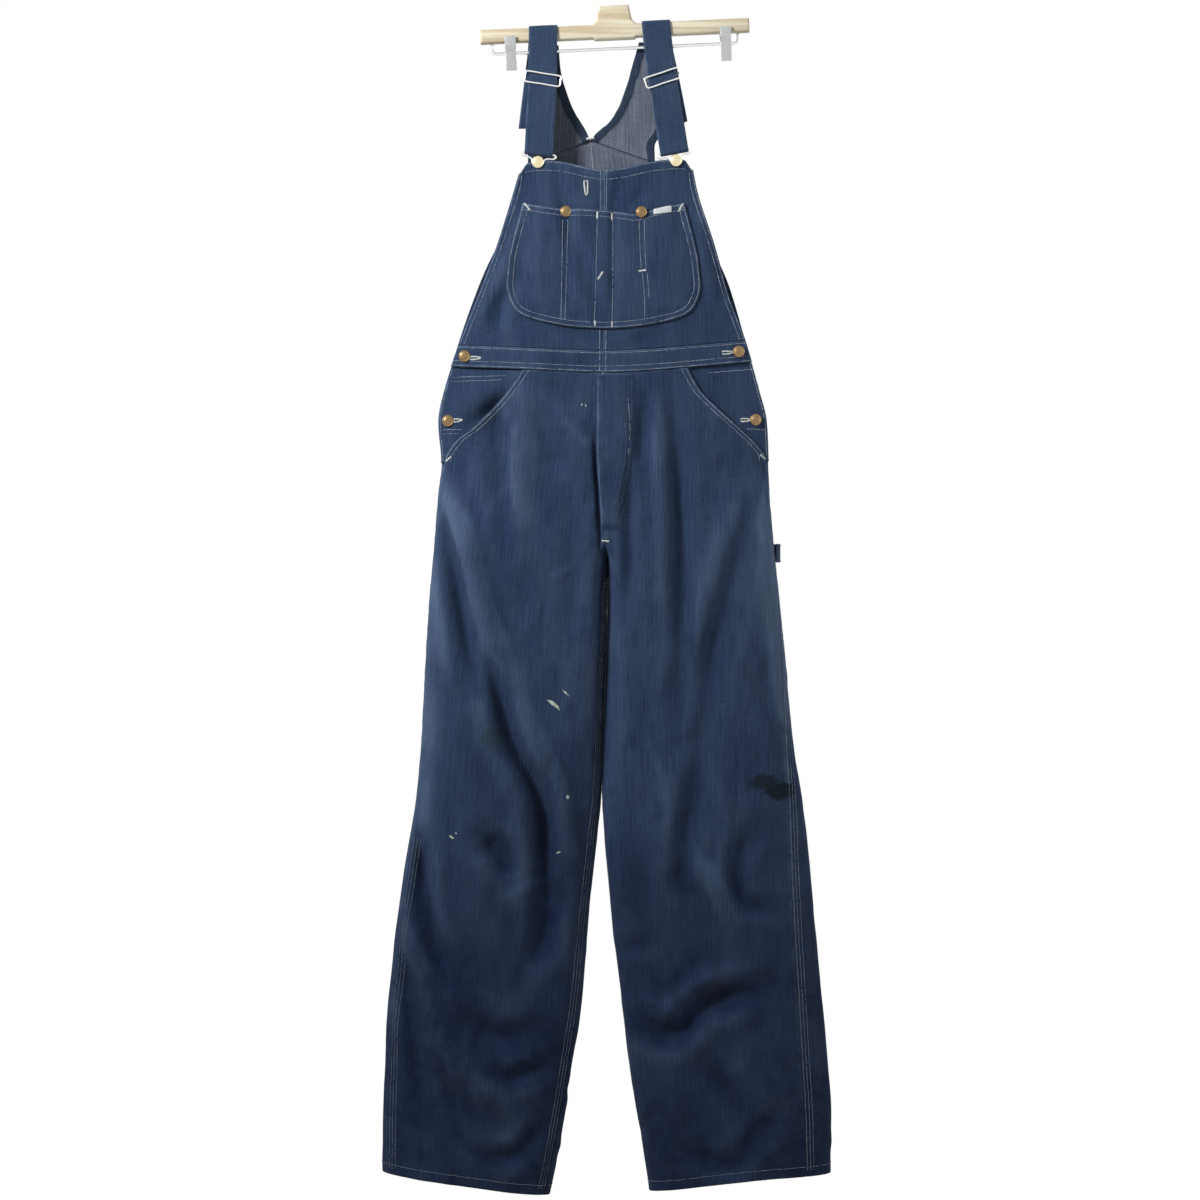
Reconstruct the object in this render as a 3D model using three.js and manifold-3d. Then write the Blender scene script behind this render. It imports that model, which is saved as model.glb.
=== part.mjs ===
// Bib overalls of worn indigo denim, hung by their two straps over the wooden bar of a clip hanger.
// Millimetres. +Z is up, -Y is the front of the garment, -X is the wearer's right-hand side.
// The origin is the inside top of the hanger's hook, where a rail holds it.

import * as THREE from 'three';
import { mergeVertices } from 'three/addons/utils/BufferGeometryUtils.js';
import Module from 'manifold-3d';

// ---------------------------------------------------------------- driving dimensions

const denim = 1.6; // thickness of one layer of cloth
const gap = 0.3; // clear space between pieces that touch
const seam = 0.0012; // half of the space at a sewn seam, as a share of the way round a half
const layer = denim + gap; // step out to the next layer

// Levels, measured down from the hook.
const shankFoot = -62; // where the hook enters the wood
const barTop = -86; // top of the wooden bar
const backTop = -232; // top of the back at its centre, at the yoke seam
const bibTop = -268; // top edge of the bib
const waistTop = -509.5; // top of the waistband
const waistLine = -538; // seam under the waistband
const mouthFoot = -650; // lower end of the side pocket mouths
const riseTurn = -742; // where the rise seam turns under
const crotch = -780; // where the four leg panels meet
const hemLevel = -1589; // middle of the hems

// Straps and hardware.
const strapWidth = 37;
const strapThick = 1.8;
const wire = 1.15; // radius of the buckle and slider wire
const buttonRadius = 8;
const hangerTilt = THREE.MathUtils.degToRad(2.6);

// ---------------------------------------------------------------- small helpers

const lerp = THREE.MathUtils.lerp;
const vec = (x, y, z) => new THREE.Vector3(x, y, z);

function ease(value, from, to) {
  const t = THREE.MathUtils.clamp((value - from) / (to - from), 0, 1);
  return t * t * (3 - 2 * t);
}

// A smooth curve through [key, value] pairs listed with rising keys, held flat past its ends.
function profile(points) {
  const last = points.length - 1;
  const slope = points.map((p, i) => {
    const a = points[Math.max(i - 1, 0)];
    const b = points[Math.min(i + 1, last)];
    return (b[1] - a[1]) / (b[0] - a[0]);
  });
  return (key) => {
    if (key <= points[0][0]) return points[0][1];
    if (key >= points[last][0]) return points[last][1];
    let i = 0;
    while (points[i + 1][0] < key) i++;
    const step = points[i + 1][0] - points[i][0];
    const t = (key - points[i][0]) / step;
    const rise = (t * t * (3 - 2 * t)) * (points[i + 1][1] - points[i][1]);
    const ends = (t - 2 * t * t + t ** 3) * slope[i] + (t ** 3 - t * t) * slope[i + 1];
    return points[i][1] + rise + ends * step;
  };
}

// The same for a path in space: points are listed along it and t runs from 0 to 1.
function path(points) {
  const curve = new THREE.CatmullRomCurve3(points.map((p) => vec(...p)), false, 'centripetal');
  return (t) => curve.getPoint(THREE.MathUtils.clamp(t, 0, 1));
}

// ---------------------------------------------------------------- outline of the garment

// Outer edges by height. The legs and hips are shared; above the waist the bib and the back differ.
const legRight = [
  [-1576, -301], [-1484, -299], [-1354, -292], [-1224, -277], [-1159, -268], [-1094, -257],
  [-1029, -251], [-899, -244], [-780, -235.5], [-704, -229.5], [-655, -224.5], [-607, -228], [-574, -222],
];
const legLeft = [
  [-1576, 283], [-1484, 281], [-1354, 271], [-1224, 258], [-1094, 245], [-1029, 236],
  [-899, 222], [-780, 210], [-704, 204], [-655, 202], [-607, 199], [-574, 190],
];
const bibRight = [[-505, -200], [-444, -177], [-379, -153.5], [-314, -133.5], [-270, -121]];
const bibLeft = [[-505, 170], [-444, 150], [-379, 132], [-314, 111], [-266, 101]];
const armRight = [[-509, -205], [-444, -183], [-379, -157], [-334, -136], [-290, -120], [-240, -111.5]];
const armLeft = [[-509, 175], [-444, 157], [-412, 146], [-373, 128], [-334, 99], [-288, 72], [-256, 54], [-230, 54]];
const outerEdge = {
  front: [profile([...legRight, ...bibRight]), profile([...legLeft, ...bibLeft])],
  back: [profile([...legRight, ...armRight]), profile([...legLeft, ...armLeft])],
};

// Centre seams of the trunk, then the inner edges of the two legs.
const centreFront = profile([[-780, -6], [-700, -12], [-538, -14], [-277, -13]]);
const centreBack = profile([[-780, -6], [-538, -14], [-400, -18], [-232, -30]]);
const innerEdge = [
  profile([
    [-1605, -84], [-1484, -62], [-1354, -42], [-1224, -30.5], [-1094, -17], [-940, -12.5], [-780, -6.4],
  ]),
  profile([[-1600, 48], [-1484, 29], [-1354, 11], [-1224, -4.5], [-1094, -14], [-940, -11.5], [-780, -5.6]]),
];

// Half depths of the hung garment at its middle, and at its open sides.
const frontDepth = profile([
  [-1590, 33], [-1400, 31], [-1200, 30], [-1000, 33], [-780, 33], [-650, 30], [-538, 25], [-277, 15],
]);
const backDepth = profile([
  [-1590, 31], [-1300, 30], [-1000, 35], [-780, 38], [-650, 32], [-538, 24], [-400, 19], [-240, 14],
]);
const sideDepth = profile([[-676, layer], [-650, 4], [-560, 5], [-510, 6], [-400, 9], [-277, 11]]);

// How far each edge departs from its level, by the place across.
const hemDrop = [
  profile([[-301, 14], [-84, -16]]),
  profile([[48, -11], [83, -6], [131, 1], [197, 8], [283, 12]]),
];
const waistSag = profile([[-210, 6.5], [-140, 3], [-14, -2.5], [60, 1], [175, 12]]);
const bibSag = profile([
  [-121, -5], [-113, 0.5], [-74, 2.3], [-28, -7], [-13, -9], [13, -6], [52, 2.3], [92, 5], [101, 0],
]);
const veeDrop = 30; // the yoke seam falls this far from the centre back to the armholes

// Where the leg seams lie on the ring of each leg, rolled a little off its two edges.
const outSeam = [
  profile([[-1590, 0.9], [-1160, 0.94], [-800, 1]]),
  profile([[-1590, 0.75], [-1400, 0.76], [-1145, 0.81], [-985, 0.87], [-700, 1]]),
];
const inSeam = [profile([[-1590, 0.13], [-1000, 0.05], [-785, 0]]), profile([[-1590, -0.12], [-785, 0]])];

// The curved mouths of the side pockets, from the waist seam down to the outseam.
const mouth = [
  profile([[-650, -219], [-629, -202], [-618, -185], [-595, -159], [-578, -145], [-556, -129], [-538, -118]]),
  profile([[-650, 197], [-634, 181], [-613, 157], [-590, 132], [-568, 112], [-538, 96]]),
];

// ---------------------------------------------------------------- the largest folds

// Each fold is a path across the front or back of a leg, with its depth and half width.
// A positive depth is a trough. Points are [x, z].
const frontFolds = [
  { at: [[-224, -721], [-210, -786], [-195, -860], [-177, -951]], depth: 6, width: 15 },
  { at: [[-221, -695], [-200, -747], [-173, -834], [-131, -938]], depth: -5, width: 15 },
  { at: [[-157, -921], [-131, -1012], [-95, -1081], [-86, -1150], [-92, -1285]], depth: 8, width: 17 },
  { at: [[-121, -548], [-118, -674], [-125, -726]], depth: -4, width: 16 },
  { at: [[76, -578], [82, -687], [90, -825], [86, -955], [77, -1042]], depth: 7, width: 15 },
  { at: [[64, -557], [64, -740], [52, -825]], depth: -4, width: 18 },
  { at: [[187, -708], [152, -812], [116, -955], [109, -1116]], depth: 6, width: 20 },
  { at: [[-253, -1142], [-247, -1230], [-219, -1324]], depth: 7, width: 14 },
  { at: [[-170, -1142], [-131, -1194]], depth: 6, width: 16 },
  { at: [[103, -1068], [87, -1176], [88, -1206], [109, -1220]], depth: 6, width: 14 },
  { at: [[178, -1133], [161, -1172], [168, -1220], [213, -1237]], depth: 6, width: 14 },
  { at: [[31, -1380], [73, -1397], [116, -1358], [160, -1345], [200, -1328]], depth: 9, width: 17 },
];
const backFolds = [
  { at: [[-190, -640], [-150, -760], [-90, -860]], depth: 6, width: 20 },
  { at: [[150, -640], [120, -760], [50, -860]], depth: 6, width: 20 },
  { at: [[-200, -1010], [-140, -1090], [-90, -1110]], depth: 7, width: 18 },
  { at: [[190, -1020], [120, -1100], [60, -1120]], depth: 7, width: 18 },
  { at: [[-240, -1150], [-210, -1260], [-205, -1400]], depth: 6, width: 18 },
  { at: [[220, -1160], [180, -1290], [185, -1420]], depth: 6, width: 18 },
];

function distanceToFold(fold, x, z) {
  let best = Infinity;
  for (let i = 0; i + 1 < fold.at.length; i++) {
    const [ax, az] = fold.at[i];
    const [bx, bz] = fold.at[i + 1];
    const t = ((x - ax) * (bx - ax) + (z - az) * (bz - az)) / ((bx - ax) ** 2 + (bz - az) ** 2);
    const near = THREE.MathUtils.clamp(t, 0, 1);
    best = Math.min(best, Math.hypot(x - lerp(ax, bx, near), z - lerp(az, bz, near)));
  }
  return best;
}

function foldDepth(folds, x, z) {
  let depth = 0;
  for (const fold of folds) {
    const reach = distanceToFold(fold, x, z) / fold.width;
    depth += fold.depth * Math.exp(-reach * reach);
  }
  return depth;
}

// ---------------------------------------------------------------- surface of trunk and legs

// The round of a leg's edge: 0 at the edge, and 1 from the given reach inwards.
const rounding = (across, reach) => Math.sqrt(Math.max(0, 1 - Math.max(0, 1 - across / reach) ** 3));
const half = (side) => (side < 0 ? 0 : 1);

// A point of the outer surface of one half of the garment. s runs round it: 0 at the centre seam
// or inseam, 0 to 1 over the front to the outseam, 1 to 2 over the back to the inseam again.
function surface(side, s, level) {
  const around = ((s % 2) + 2) % 2;
  const front = around <= 1;
  const turn = front ? around : 2 - around;
  const trunk = (front ? centreFront : centreBack)(level);
  const inner = level < crotch ? innerEdge[half(side)](level) : trunk;
  const outer = outerEdge[front ? 'front' : 'back'][half(side)](level);
  const tube = 1 - ease(level, crotch, mouthFoot);
  const across = lerp(turn, (1 - Math.cos(Math.PI * turn)) / 2, tube);
  const x = lerp(inner, outer, across);

  const middle = (front ? frontDepth : backDepth)(level);
  const edge = sideDepth(level);
  const lens = edge + (middle - edge) * (1 - across ** 2.4);
  const round = middle * rounding(1 - across, 0.5);
  const under = THREE.MathUtils.clamp((riseTurn - level) / (riseTurn - crotch), 0, 1);
  const inside = rounding(across, lerp(0.14, 0.5, ease(level, crotch, crotch - 380)));
  const rise = Math.sqrt(1 - (1 - inside * inside) * under * under);
  let depth = lerp(lens, round, tube) * rise;
  const fade = ease(across, 0, 0.2) * ease(across, 1, 0.8);
  depth -= fade * foldDepth(front ? frontFolds : backFolds, x, level);

  let lift = hemDrop[half(side)](x) * ease(level, hemLevel + 500, hemLevel);
  if (front) {
    const up = THREE.MathUtils.clamp((level - waistTop) / (bibTop - waistTop), 0, 1);
    lift += lerp(waistSag(x) * ease(level, waistLine - 200, waistLine), bibSag(x), up);
  } else {
    lift -= veeDrop * across * ease(level, backTop - 190, backTop);
  }
  return vec(x, front ? -depth : depth, level + lift);
}

// The front surface at a place given by x and height.
function frontPoint(x, z) {
  let level = z;
  let found = null;
  for (let pass = 0; pass < 4; pass++) {
    const side = x < centreFront(level) ? -1 : 1;
    let [low, high] = [0, 1];
    for (let i = 0; i < 24; i++) {
      const s = (low + high) / 2;
      if (side * (surface(side, s, level).x - x) < 0) low = s;
      else high = s;
    }
    found = surface(side, (low + high) / 2, level);
    level += z - found.z;
  }
  return found;
}

// The way the front faces there.
function frontNormal(x, z) {
  const across = frontPoint(x + 2, z).sub(frontPoint(x - 2, z));
  const up = frontPoint(x, z + 2).sub(frontPoint(x, z - 2));
  return across.cross(up).normalize();
}

// A point held off the front by a distance.
const offFront = (x, z, off) => frontPoint(x, z).addScaledVector(frontNormal(x, z), off);

// ---------------------------------------------------------------- walls of cloth

// A closed wall over the grid point(u, v), whose outer face looks along facing.
function wall(point, columns, rows, facing, { thickness = denim, flatEdge = null } = {}) {
  const step = 1e-3;
  const outer = [];
  const inner = [];
  for (let j = 0; j <= rows; j++) {
    for (let i = 0; i <= columns; i++) {
      const u = i / columns;
      const v = j / rows;
      const along = point(Math.min(u + step, 1), v).sub(point(Math.max(u - step, 0), v));
      const down = point(u, Math.min(v + step, 1)).sub(point(u, Math.max(v - step, 0)));
      const normal = along.cross(down).normalize().multiplyScalar(facing);
      if (flatEdge && flatEdge(u, v)) normal.setX(0).normalize();
      const here = point(u, v);
      outer.push(here);
      inner.push(here.clone().addScaledVector(normal, -thickness));
    }
  }
  const points = [...outer, ...inner];
  const index = [];
  const across = columns + 1;
  const deep = outer.length;
  const quad = (a, b, c, d, turned = false) => {
    const corners = facing > 0 !== turned ? [a, c, b, b, c, d] : [a, b, c, b, d, c];
    index.push(...corners);
  };
  for (let j = 0; j < rows; j++) {
    for (let i = 0; i < columns; i++) {
      const a = j * across + i;
      quad(a, a + 1, a + across, a + across + 1);
      quad(a + deep, a + deep + 1, a + deep + across, a + deep + across + 1, true); // the same diagonal
    }
  }
  for (let i = 0; i < columns; i++) {
    const foot = rows * across + i;
    quad(i + deep, i + 1 + deep, i, i + 1);
    quad(foot, foot + 1, foot + deep, foot + 1 + deep);
  }
  for (let j = 0; j < rows; j++) {
    const left = j * across;
    const right = left + columns;
    quad(left + deep, left, left + across + deep, left + across);
    quad(right, right + deep, right + across, right + across + deep);
  }
  return closed(points, index);
}

// Six times the signed volume of a closed mesh: positive when its faces look out.
function volume(geometry) {
  const p = geometry.attributes.position;
  const index = geometry.index.array;
  let sum = 0;
  const [a, b, c] = [vec(0, 0, 0), vec(0, 0, 0), vec(0, 0, 0)];
  for (let k = 0; k < index.length; k += 3) {
    a.fromBufferAttribute(p, index[k]);
    b.fromBufferAttribute(p, index[k + 1]);
    c.fromBufferAttribute(p, index[k + 2]);
    sum += a.dot(b.cross(c));
  }
  return sum;
}

// ---------------------------------------------------------------- cloth panels

// Heights of the rows of a leg: closer together where the rise seam turns under.
const riseLevels = [0, 0.42, 0.74, 0.92, 1].map((t) => lerp(riseTurn, crotch, t));
const legRows = 15;
const legLevels = Array.from({ length: legRows }, (_, i) => lerp(crotch, hemLevel, (i + 1) / legRows));
const frontLevels = [waistLine, -560, -582, -604, -627, mouthFoot, -676, -708, ...riseLevels, ...legLevels];
const backLevels = [
  backTop, -270, -310, -355, -400, -450, -500, -550, -600, mouthFoot, -696, ...riseLevels, ...legLevels,
];

function levelAt(levels, v) {
  const place = v * (levels.length - 1);
  const i = Math.min(Math.floor(place), levels.length - 2);
  return lerp(levels[i], levels[i + 1], place - i);
}

const mouthShare = (side, level) => {
  const middle = centreFront(level);
  return (mouth[half(side)](level) - middle) / (outerEdge.front[half(side)](level) - middle);
};

function frontLeg(side) {
  const point = (u, v) => {
    const level = levelAt(frontLevels, v);
    const open = level > mouthFoot - 1;
    const start = level < crotch ? inSeam[half(side)](level) : 0;
    const end = open ? mouthShare(side, level) : outSeam[half(side)](level);
    return surface(side, lerp(start + seam, end - seam, u), level);
  };
  const flatEdge = (u, v) => u === 0 && levelAt(frontLevels, v) > crotch + 1;
  return wall(point, 11, frontLevels.length - 1, -side, { flatEdge });
}

function backPanel(side) {
  const point = (u, v) => {
    const level = levelAt(backLevels, v);
    const start = outSeam[half(side)](level);
    const end = 2 + (level < crotch ? inSeam[half(side)](level) : 0);
    return surface(side, lerp(start + seam, end - seam, u), level);
  };
  const flatEdge = (u, v) => u === 1 && levelAt(backLevels, v) > crotch + 1;
  return wall(point, 9, backLevels.length - 1, -side, { flatEdge });
}

function sideFacing(side) {
  const overlap = 0.09;
  const tuck = layer + 1;
  const point = (u, v) => {
    const level = lerp(waistLine, mouthFoot + 6, v);
    const s = lerp(mouthShare(side, level) - overlap, 1 - seam, u);
    const at = surface(side, s, level);
    return at.setY(at.y + tuck);
  };
  return wall(point, 4, 5, -side);
}

function bib(side) {
  const point = (u, v) => surface(side, lerp(seam, 1, u), lerp(bibTop, waistTop + gap, v));
  return wall(point, 7, 8, -side);
}

function waistband() {
  const point = (u, v) => {
    const level = lerp(waistTop, waistLine + gap, v);
    const side = u < 0.5 ? -1 : 1;
    return surface(side, Math.abs(2 * u - 1), level);
  };
  return wall(point, 16, 2, -1);
}

// The bib pocket: straight sides that widen downwards, and a bottom that rounds up into them.
const pocket = {
  off: layer + 0.2,
  middle: -13,
  low: -484,
  rise: 24,
  corner: 29,
  halfWidth: profile([[-431, 126], [-419, 125], [-387, 121], [-324, 104.5]]),
  top: profile([[-118, -320], [-75, -327], [-40, -328.5], [0, -331], [27, -335], [55, -328], [90, -320]]),
};

function pocketPlace(u, v) {
  const across = 2 * u - 1;
  const side = lerp(-324, -431, v);
  const x = pocket.middle + across * pocket.halfWidth(side);
  const foot = pocket.low + pocket.rise * across ** 2 + pocket.corner * Math.abs(across) ** 16;
  return [x, lerp(pocket.top(x), foot, v)];
}

function bibPocket() {
  return wall((u, v) => offFront(...pocketPlace(u, v), pocket.off), 12, 6, -1);
}

// The fly: a flap on the centre front that narrows towards the crotch.
const fly = {
  off: layer + 0.5,
  top: waistLine - 4,
  foot: -750,
  left: profile([[-750, -15], [-704, -17.5], [-650, -21], [-540, -21.5]]),
  right: profile([[-750, 6], [-704, 17], [-650, 24], [-540, 26]]),
};

function flyFlap() {
  const point = (u, v) => {
    const z = lerp(fly.top, fly.foot, v);
    return offFront(lerp(fly.left(z), fly.right(z), u), z, fly.off);
  };
  return wall(point, 3, 9, -1);
}

// The yokes: from the vee seam up both sides of the neck, to end under the straps.
const neckRight = path([
  [-71.5, 0, -112], [-68.5, 0, -145], [-61.5, 0, -172], [-51, 0, -197], [-39, 0, -217], [-30.6, 0, -231.5],
]);
const armholeRight = path([
  [-104, 0, -112], [-107, 0, -150], [-113, 0, -200], [-111.5, 0, -225], [-111.5, 0, -261.5],
]);
const neckLeft = path([
  [33, 0, -108], [24, 0, -130], [16, 0, -158], [4, 0, -188], [-16, 0, -218], [-29.4, 0, -231.5],
]);
const armholeLeft = path([
  [68, 0, -108], [72, 0, -150], [76, 0, -195], [63, 0, -226], [54, 0, -240], [54, 0, -261.5],
]);
const yokeDepth = profile([[-262, 11.2], [-232, 13], [-170, 9.8], [-106, 7]]);

function yoke(side) {
  const [neck, armhole] = side < 0 ? [neckRight, armholeRight] : [neckLeft, armholeLeft];
  const point = (u, v) => {
    const at = neck(v).lerp(armhole(v), u);
    return at.setY(yokeDepth(at.z));
  };
  return wall(point, 4, 11, side);
}

// A blank woven tab on the top of the bib pocket.
function label() {
  const [x, z] = [63, -329];
  const [width, height, tilt, thickness] = [23, 9.5, 0.14, 1];
  const point = (u, v) => {
    const across = (u - 0.5) * width;
    const off = pocket.off + thickness + gap + 0.1;
    return offFront(x + across, z + across * tilt - (v - 0.5) * height, off);
  };
  return wall(point, 2, 1, -1, { thickness });
}

// ---------------------------------------------------------------- straps

// A flat band through stations, each with its place and the way it lies across.
function band(stations, width, thickness) {
  const points = [];
  stations.forEach(({ at, across }, i) => {
    const before = stations[Math.max(i - 1, 0)].at;
    const after = stations[Math.min(i + 1, stations.length - 1)].at;
    const normal = after.clone().sub(before).cross(across).normalize();
    for (const [w, t] of [[-1, -1], [1, -1], [1, 1], [-1, 1]]) {
      const corner = at.clone().addScaledVector(across, (w * width) / 2);
      points.push(corner.addScaledVector(normal, (t * thickness) / 2));
    }
  });
  const index = [0, 2, 1, 0, 3, 2];
  const end = 4 * (stations.length - 1);
  index.push(end, end + 1, end + 2, end, end + 2, end + 3);
  for (let i = 0; i + 1 < stations.length; i++) {
    for (let k = 0; k < 4; k++) {
      const [a, b] = [4 * i + k, 4 * i + ((k + 1) % 4)];
      index.push(a, b, a + 4, b, b + 4, a + 4);
    }
  }
  return closed(points, index);
}

// The mesh of a closed body, turned so that its faces look out.
function closed(points, index) {
  const geometry = new THREE.BufferGeometry();
  const numbers = points.flatMap((p) => [p.x, p.y, p.z]);
  geometry.setAttribute('position', new THREE.Float32BufferAttribute(numbers, 3));
  geometry.setIndex(index);
  if (volume(geometry) < 0) {
    const turned = index.map((_, k) => index[k - 2 * (k % 3) + 2]);
    geometry.setIndex(turned);
  }
  geometry.computeVertexNormals();
  return geometry;
}

// Each strap: where it lies on the bar, its slider, its buckle, and its sewn end on the back.
// Tilts turn about the line of sight, positive with the wearer's left side up.
const straps = {
  right: {
    top: -91.5,
    slider: { x: -91.8, z: -159, tilt: -0.16 },
    buckle: { x: -97, z: -256, tilt: -0.11 },
    tail: { x: -105.5, z: -219, tilt: 0 },
  },
  left: {
    top: 55,
    slider: { x: 63.4, z: -158, tilt: 0.325 },
    buckle: { x: 78.7, z: -254, tilt: 0.19 },
    tail: { x: 80, z: -217, tilt: 0.45 },
  },
};
const barHalf = 7; // half thickness of the wooden bar
const fold = barHalf + gap + strapThick / 2; // strap off the middle of the bar
const sliderDepth = 12.5; // strap off the middle plane at the slider
const buckleDepth = 14.4;
const loop = wire + gap + strapThick / 2; // strap off the middle of a wire
const stack = strapThick + gap + 0.1; // one strap layer behind another

const barTopAt = (x) => shankFoot + (barTop - shankFoot) * Math.cos(hangerTilt) + x * Math.sin(hangerTilt);
const tiltAcross = (tilt) => vec(Math.cos(tilt), 0, Math.sin(tilt));
const tiltUp = (tilt) => vec(-Math.sin(tilt), 0, Math.cos(tilt));

function strap({ top, slider, buckle, tail }) {
  const stations = [];
  const add = (at, tilt) => stations.push({ at, across: tiltAcross(tilt) });
  const rest = barTopAt(top);

  // Up the back from the sewn end, over the bar, and down the front to the slider.
  const tailDepth = yokeDepth(tail.z) + gap + 0.2 + strapThick / 2;
  for (const t of [0, 0.3, 0.6, 0.85]) {
    const z = lerp(tail.z, rest - 14, t);
    const depth = Math.max(fold, yokeDepth(z) + gap + 0.2 + strapThick / 2);
    add(vec(lerp(tail.x, top, t), t === 0 ? tailDepth : depth, z), lerp(tail.tilt, hangerTilt, t));
  }
  const round = fold - barHalf + 2;
  for (let i = 0; i <= 8; i++) {
    const side = i <= 4 ? 1 : -1;
    const angle = i <= 4 ? (i / 4) * (Math.PI / 2) : Math.PI / 2 + ((i - 4) / 4) * (Math.PI / 2);
    const y = side * (barHalf - 2) + Math.cos(angle) * round;
    const z = rest - 2 + Math.sin(angle) * round;
    if (i === 4) add(vec(top, barHalf - 2, z), hangerTilt);
    add(vec(top, y, z), hangerTilt);
  }
  for (const t of [0.25, 0.6, 1]) {
    const at = vec(lerp(top, slider.x, t), -lerp(fold, sliderDepth, t), lerp(rest - 6, slider.z, t));
    add(at, hangerTilt);
  }

  // Down to the buckle's bar and round it, then up behind to the slider's middle bar.
  const bar = vec(buckle.x, -buckleDepth, buckle.z);
  const lowAcross = buckle.tilt;
  for (const t of [0.35, 0.7]) {
    const at = vec(lerp(slider.x, buckle.x, t), -lerp(sliderDepth, buckleDepth + loop, t), 0);
    at.z = lerp(slider.z, buckle.z, t);
    add(at, lerp(hangerTilt, lowAcross, t));
  }
  for (let i = 0; i <= 6; i++) {
    const angle = Math.PI + (i / 6) * Math.PI;
    const at = bar.clone().addScaledVector(tiltUp(lowAcross), Math.sin(angle) * loop);
    add(at.setY(bar.y + Math.cos(angle) * loop), lowAcross);
  }
  const middle = vec(slider.x, -sliderDepth + stack + loop, slider.z);
  for (const t of [0.3, 0.65, 0.9]) {
    const at = vec(lerp(buckle.x, slider.x, t), 0, lerp(buckle.z, slider.z, t));
    at.y = lerp(bar.y + loop, middle.y + loop, t);
    add(at, lerp(lowAcross, slider.tilt, t));
  }
  for (let i = 0; i <= 5; i++) {
    const angle = (i / 5) * Math.PI;
    const at = middle.clone().addScaledVector(tiltUp(slider.tilt), Math.sin(angle) * loop);
    add(at.setY(middle.y + Math.cos(angle) * loop), slider.tilt);
  }
  const end = middle.clone().addScaledVector(tiltUp(slider.tilt), -9);
  add(end.setY(middle.y - loop), slider.tilt);
  return band(stations, strapWidth, strapThick);
}

// The hammer loop: a short doubled tab that stands off the wearer's left outseam.
function hammerLoop() {
  const stations = [];
  const steps = 8;
  for (let i = 0; i <= steps; i++) {
    const s = lerp(0.99, 1.2, i / steps);
    const at = surface(1, s, -773);
    const out = vec(at.x - 120, at.y * 3, 0).normalize();
    const off = 1.6 + 9.5 * Math.sin((Math.PI * i) / steps);
    stations.push({ at: at.addScaledVector(out, off), across: vec(0, 0, 1) });
  }
  return band(stations, 24, strapThick);
}

// ---------------------------------------------------------------- wire, buttons and hanger

const wireSides = 6;

// A closed wire through points.
function wireLoop(points, radius, steps) {
  const curve = new THREE.CatmullRomCurve3(points.map((p) => vec(...p)), true, 'centripetal');
  return new THREE.TubeGeometry(curve, steps, radius, wireSides, true);
}

// An open wire through points, with flat ends.
function wireRun(points, radius, steps, sides = wireSides) {
  const curve = new THREE.CatmullRomCurve3(points.map((p) => vec(...p)), false, 'centripetal');
  const section = new THREE.Shape();
  for (let i = 0; i < sides; i++) {
    const angle = (2 * Math.PI * i) / sides;
    const corner = [Math.cos(angle) * radius, Math.sin(angle) * radius];
    if (i === 0) section.moveTo(...corner);
    else section.lineTo(...corner);
  }
  return new THREE.ExtrudeGeometry(section, { steps, extrudePath: curve, bevelEnabled: false });
}

const wasm = await Module();
wasm.setup();

function solid(geometry) {
  const bare = geometry.clone();
  bare.deleteAttribute('normal');
  bare.deleteAttribute('uv');
  const merged = mergeVertices(bare, 1e-4);
  const vertProperties = new Float32Array(merged.attributes.position.array);
  const triVerts = new Uint32Array(merged.index.array);
  return new wasm.Manifold(new wasm.Mesh({ numProp: 3, vertProperties, triVerts }));
}

function joined(...geometries) {
  const mesh = geometries.map(solid).reduce((whole, next) => whole.add(next)).getMesh();
  const geometry = new THREE.BufferGeometry();
  geometry.setAttribute('position', new THREE.BufferAttribute(new Float32Array(mesh.vertProperties), 3));
  geometry.setIndex(new THREE.BufferAttribute(new Uint32Array(mesh.triVerts), 1));
  geometry.computeVertexNormals();
  return geometry;
}

// The slider: a wire frame in front of the strap, and the middle bar that the strap's end holds.
const sliderHalf = { x: 23, z: 6.8 };
const sliderPlay = 0.5; // room for the strap, which leans as it passes through
function sliderWire() {
  const { x, z } = sliderHalf;
  const corner = 2.2;
  const frame = wireLoop([
    [-x + corner, 0, z], [0, 0, z], [x - corner, 0, z], [x, 0, z - corner], [x, 0, 0],
    [x, 0, corner - z], [x - corner, 0, -z], [0, 0, -z], [corner - x, 0, -z], [-x, 0, corner - z],
    [-x, 0, 0], [-x, 0, z - corner],
  ], wire, 26);
  const back = loop + sliderPlay + stack + loop;
  const bend = x - 2.4;
  const bar = wireRun([
    [-x, 0, 0], [-x + 0.4, back * 0.45, 0], [-bend, back * 0.86, 0], [-bend + 3.4, back, 0], [0, back, 0],
    [bend - 3.4, back, 0], [bend, back * 0.86, 0], [x - 0.4, back * 0.45, 0], [x, 0, 0],
  ], wire * 0.9, 16);
  return joined(frame, bar);
}

// The buckle: a wire bar for the strap, turned in below it round the neck of the button.
const buckleHalf = 22.5;
const neck = { low: 8.6, radius: 7.4 }; // the wire's bend under the button, from the bar
function buckleWire() {
  const bend = [-150, -115, -90, -65, -30].map((degrees) => {
    const angle = THREE.MathUtils.degToRad(degrees);
    return [Math.cos(angle) * neck.radius, 0, -neck.low + Math.sin(angle) * neck.radius];
  });
  return wireLoop([
    [-buckleHalf + 2.5, 0, 0], [0, 0, 0], [buckleHalf - 2.5, 0, 0], [buckleHalf, 0, -2.6],
    [buckleHalf - 2.8, 0, -5.2], [13, 0, -5.4], [8.6, 0, -7.4], ...bend.reverse(), [-8.6, 0, -7.4],
    [-13, 0, -5.4], [2.8 - buckleHalf, 0, -5.2], [-buckleHalf, 0, -2.6],
  ], wire, 36);
}

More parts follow.
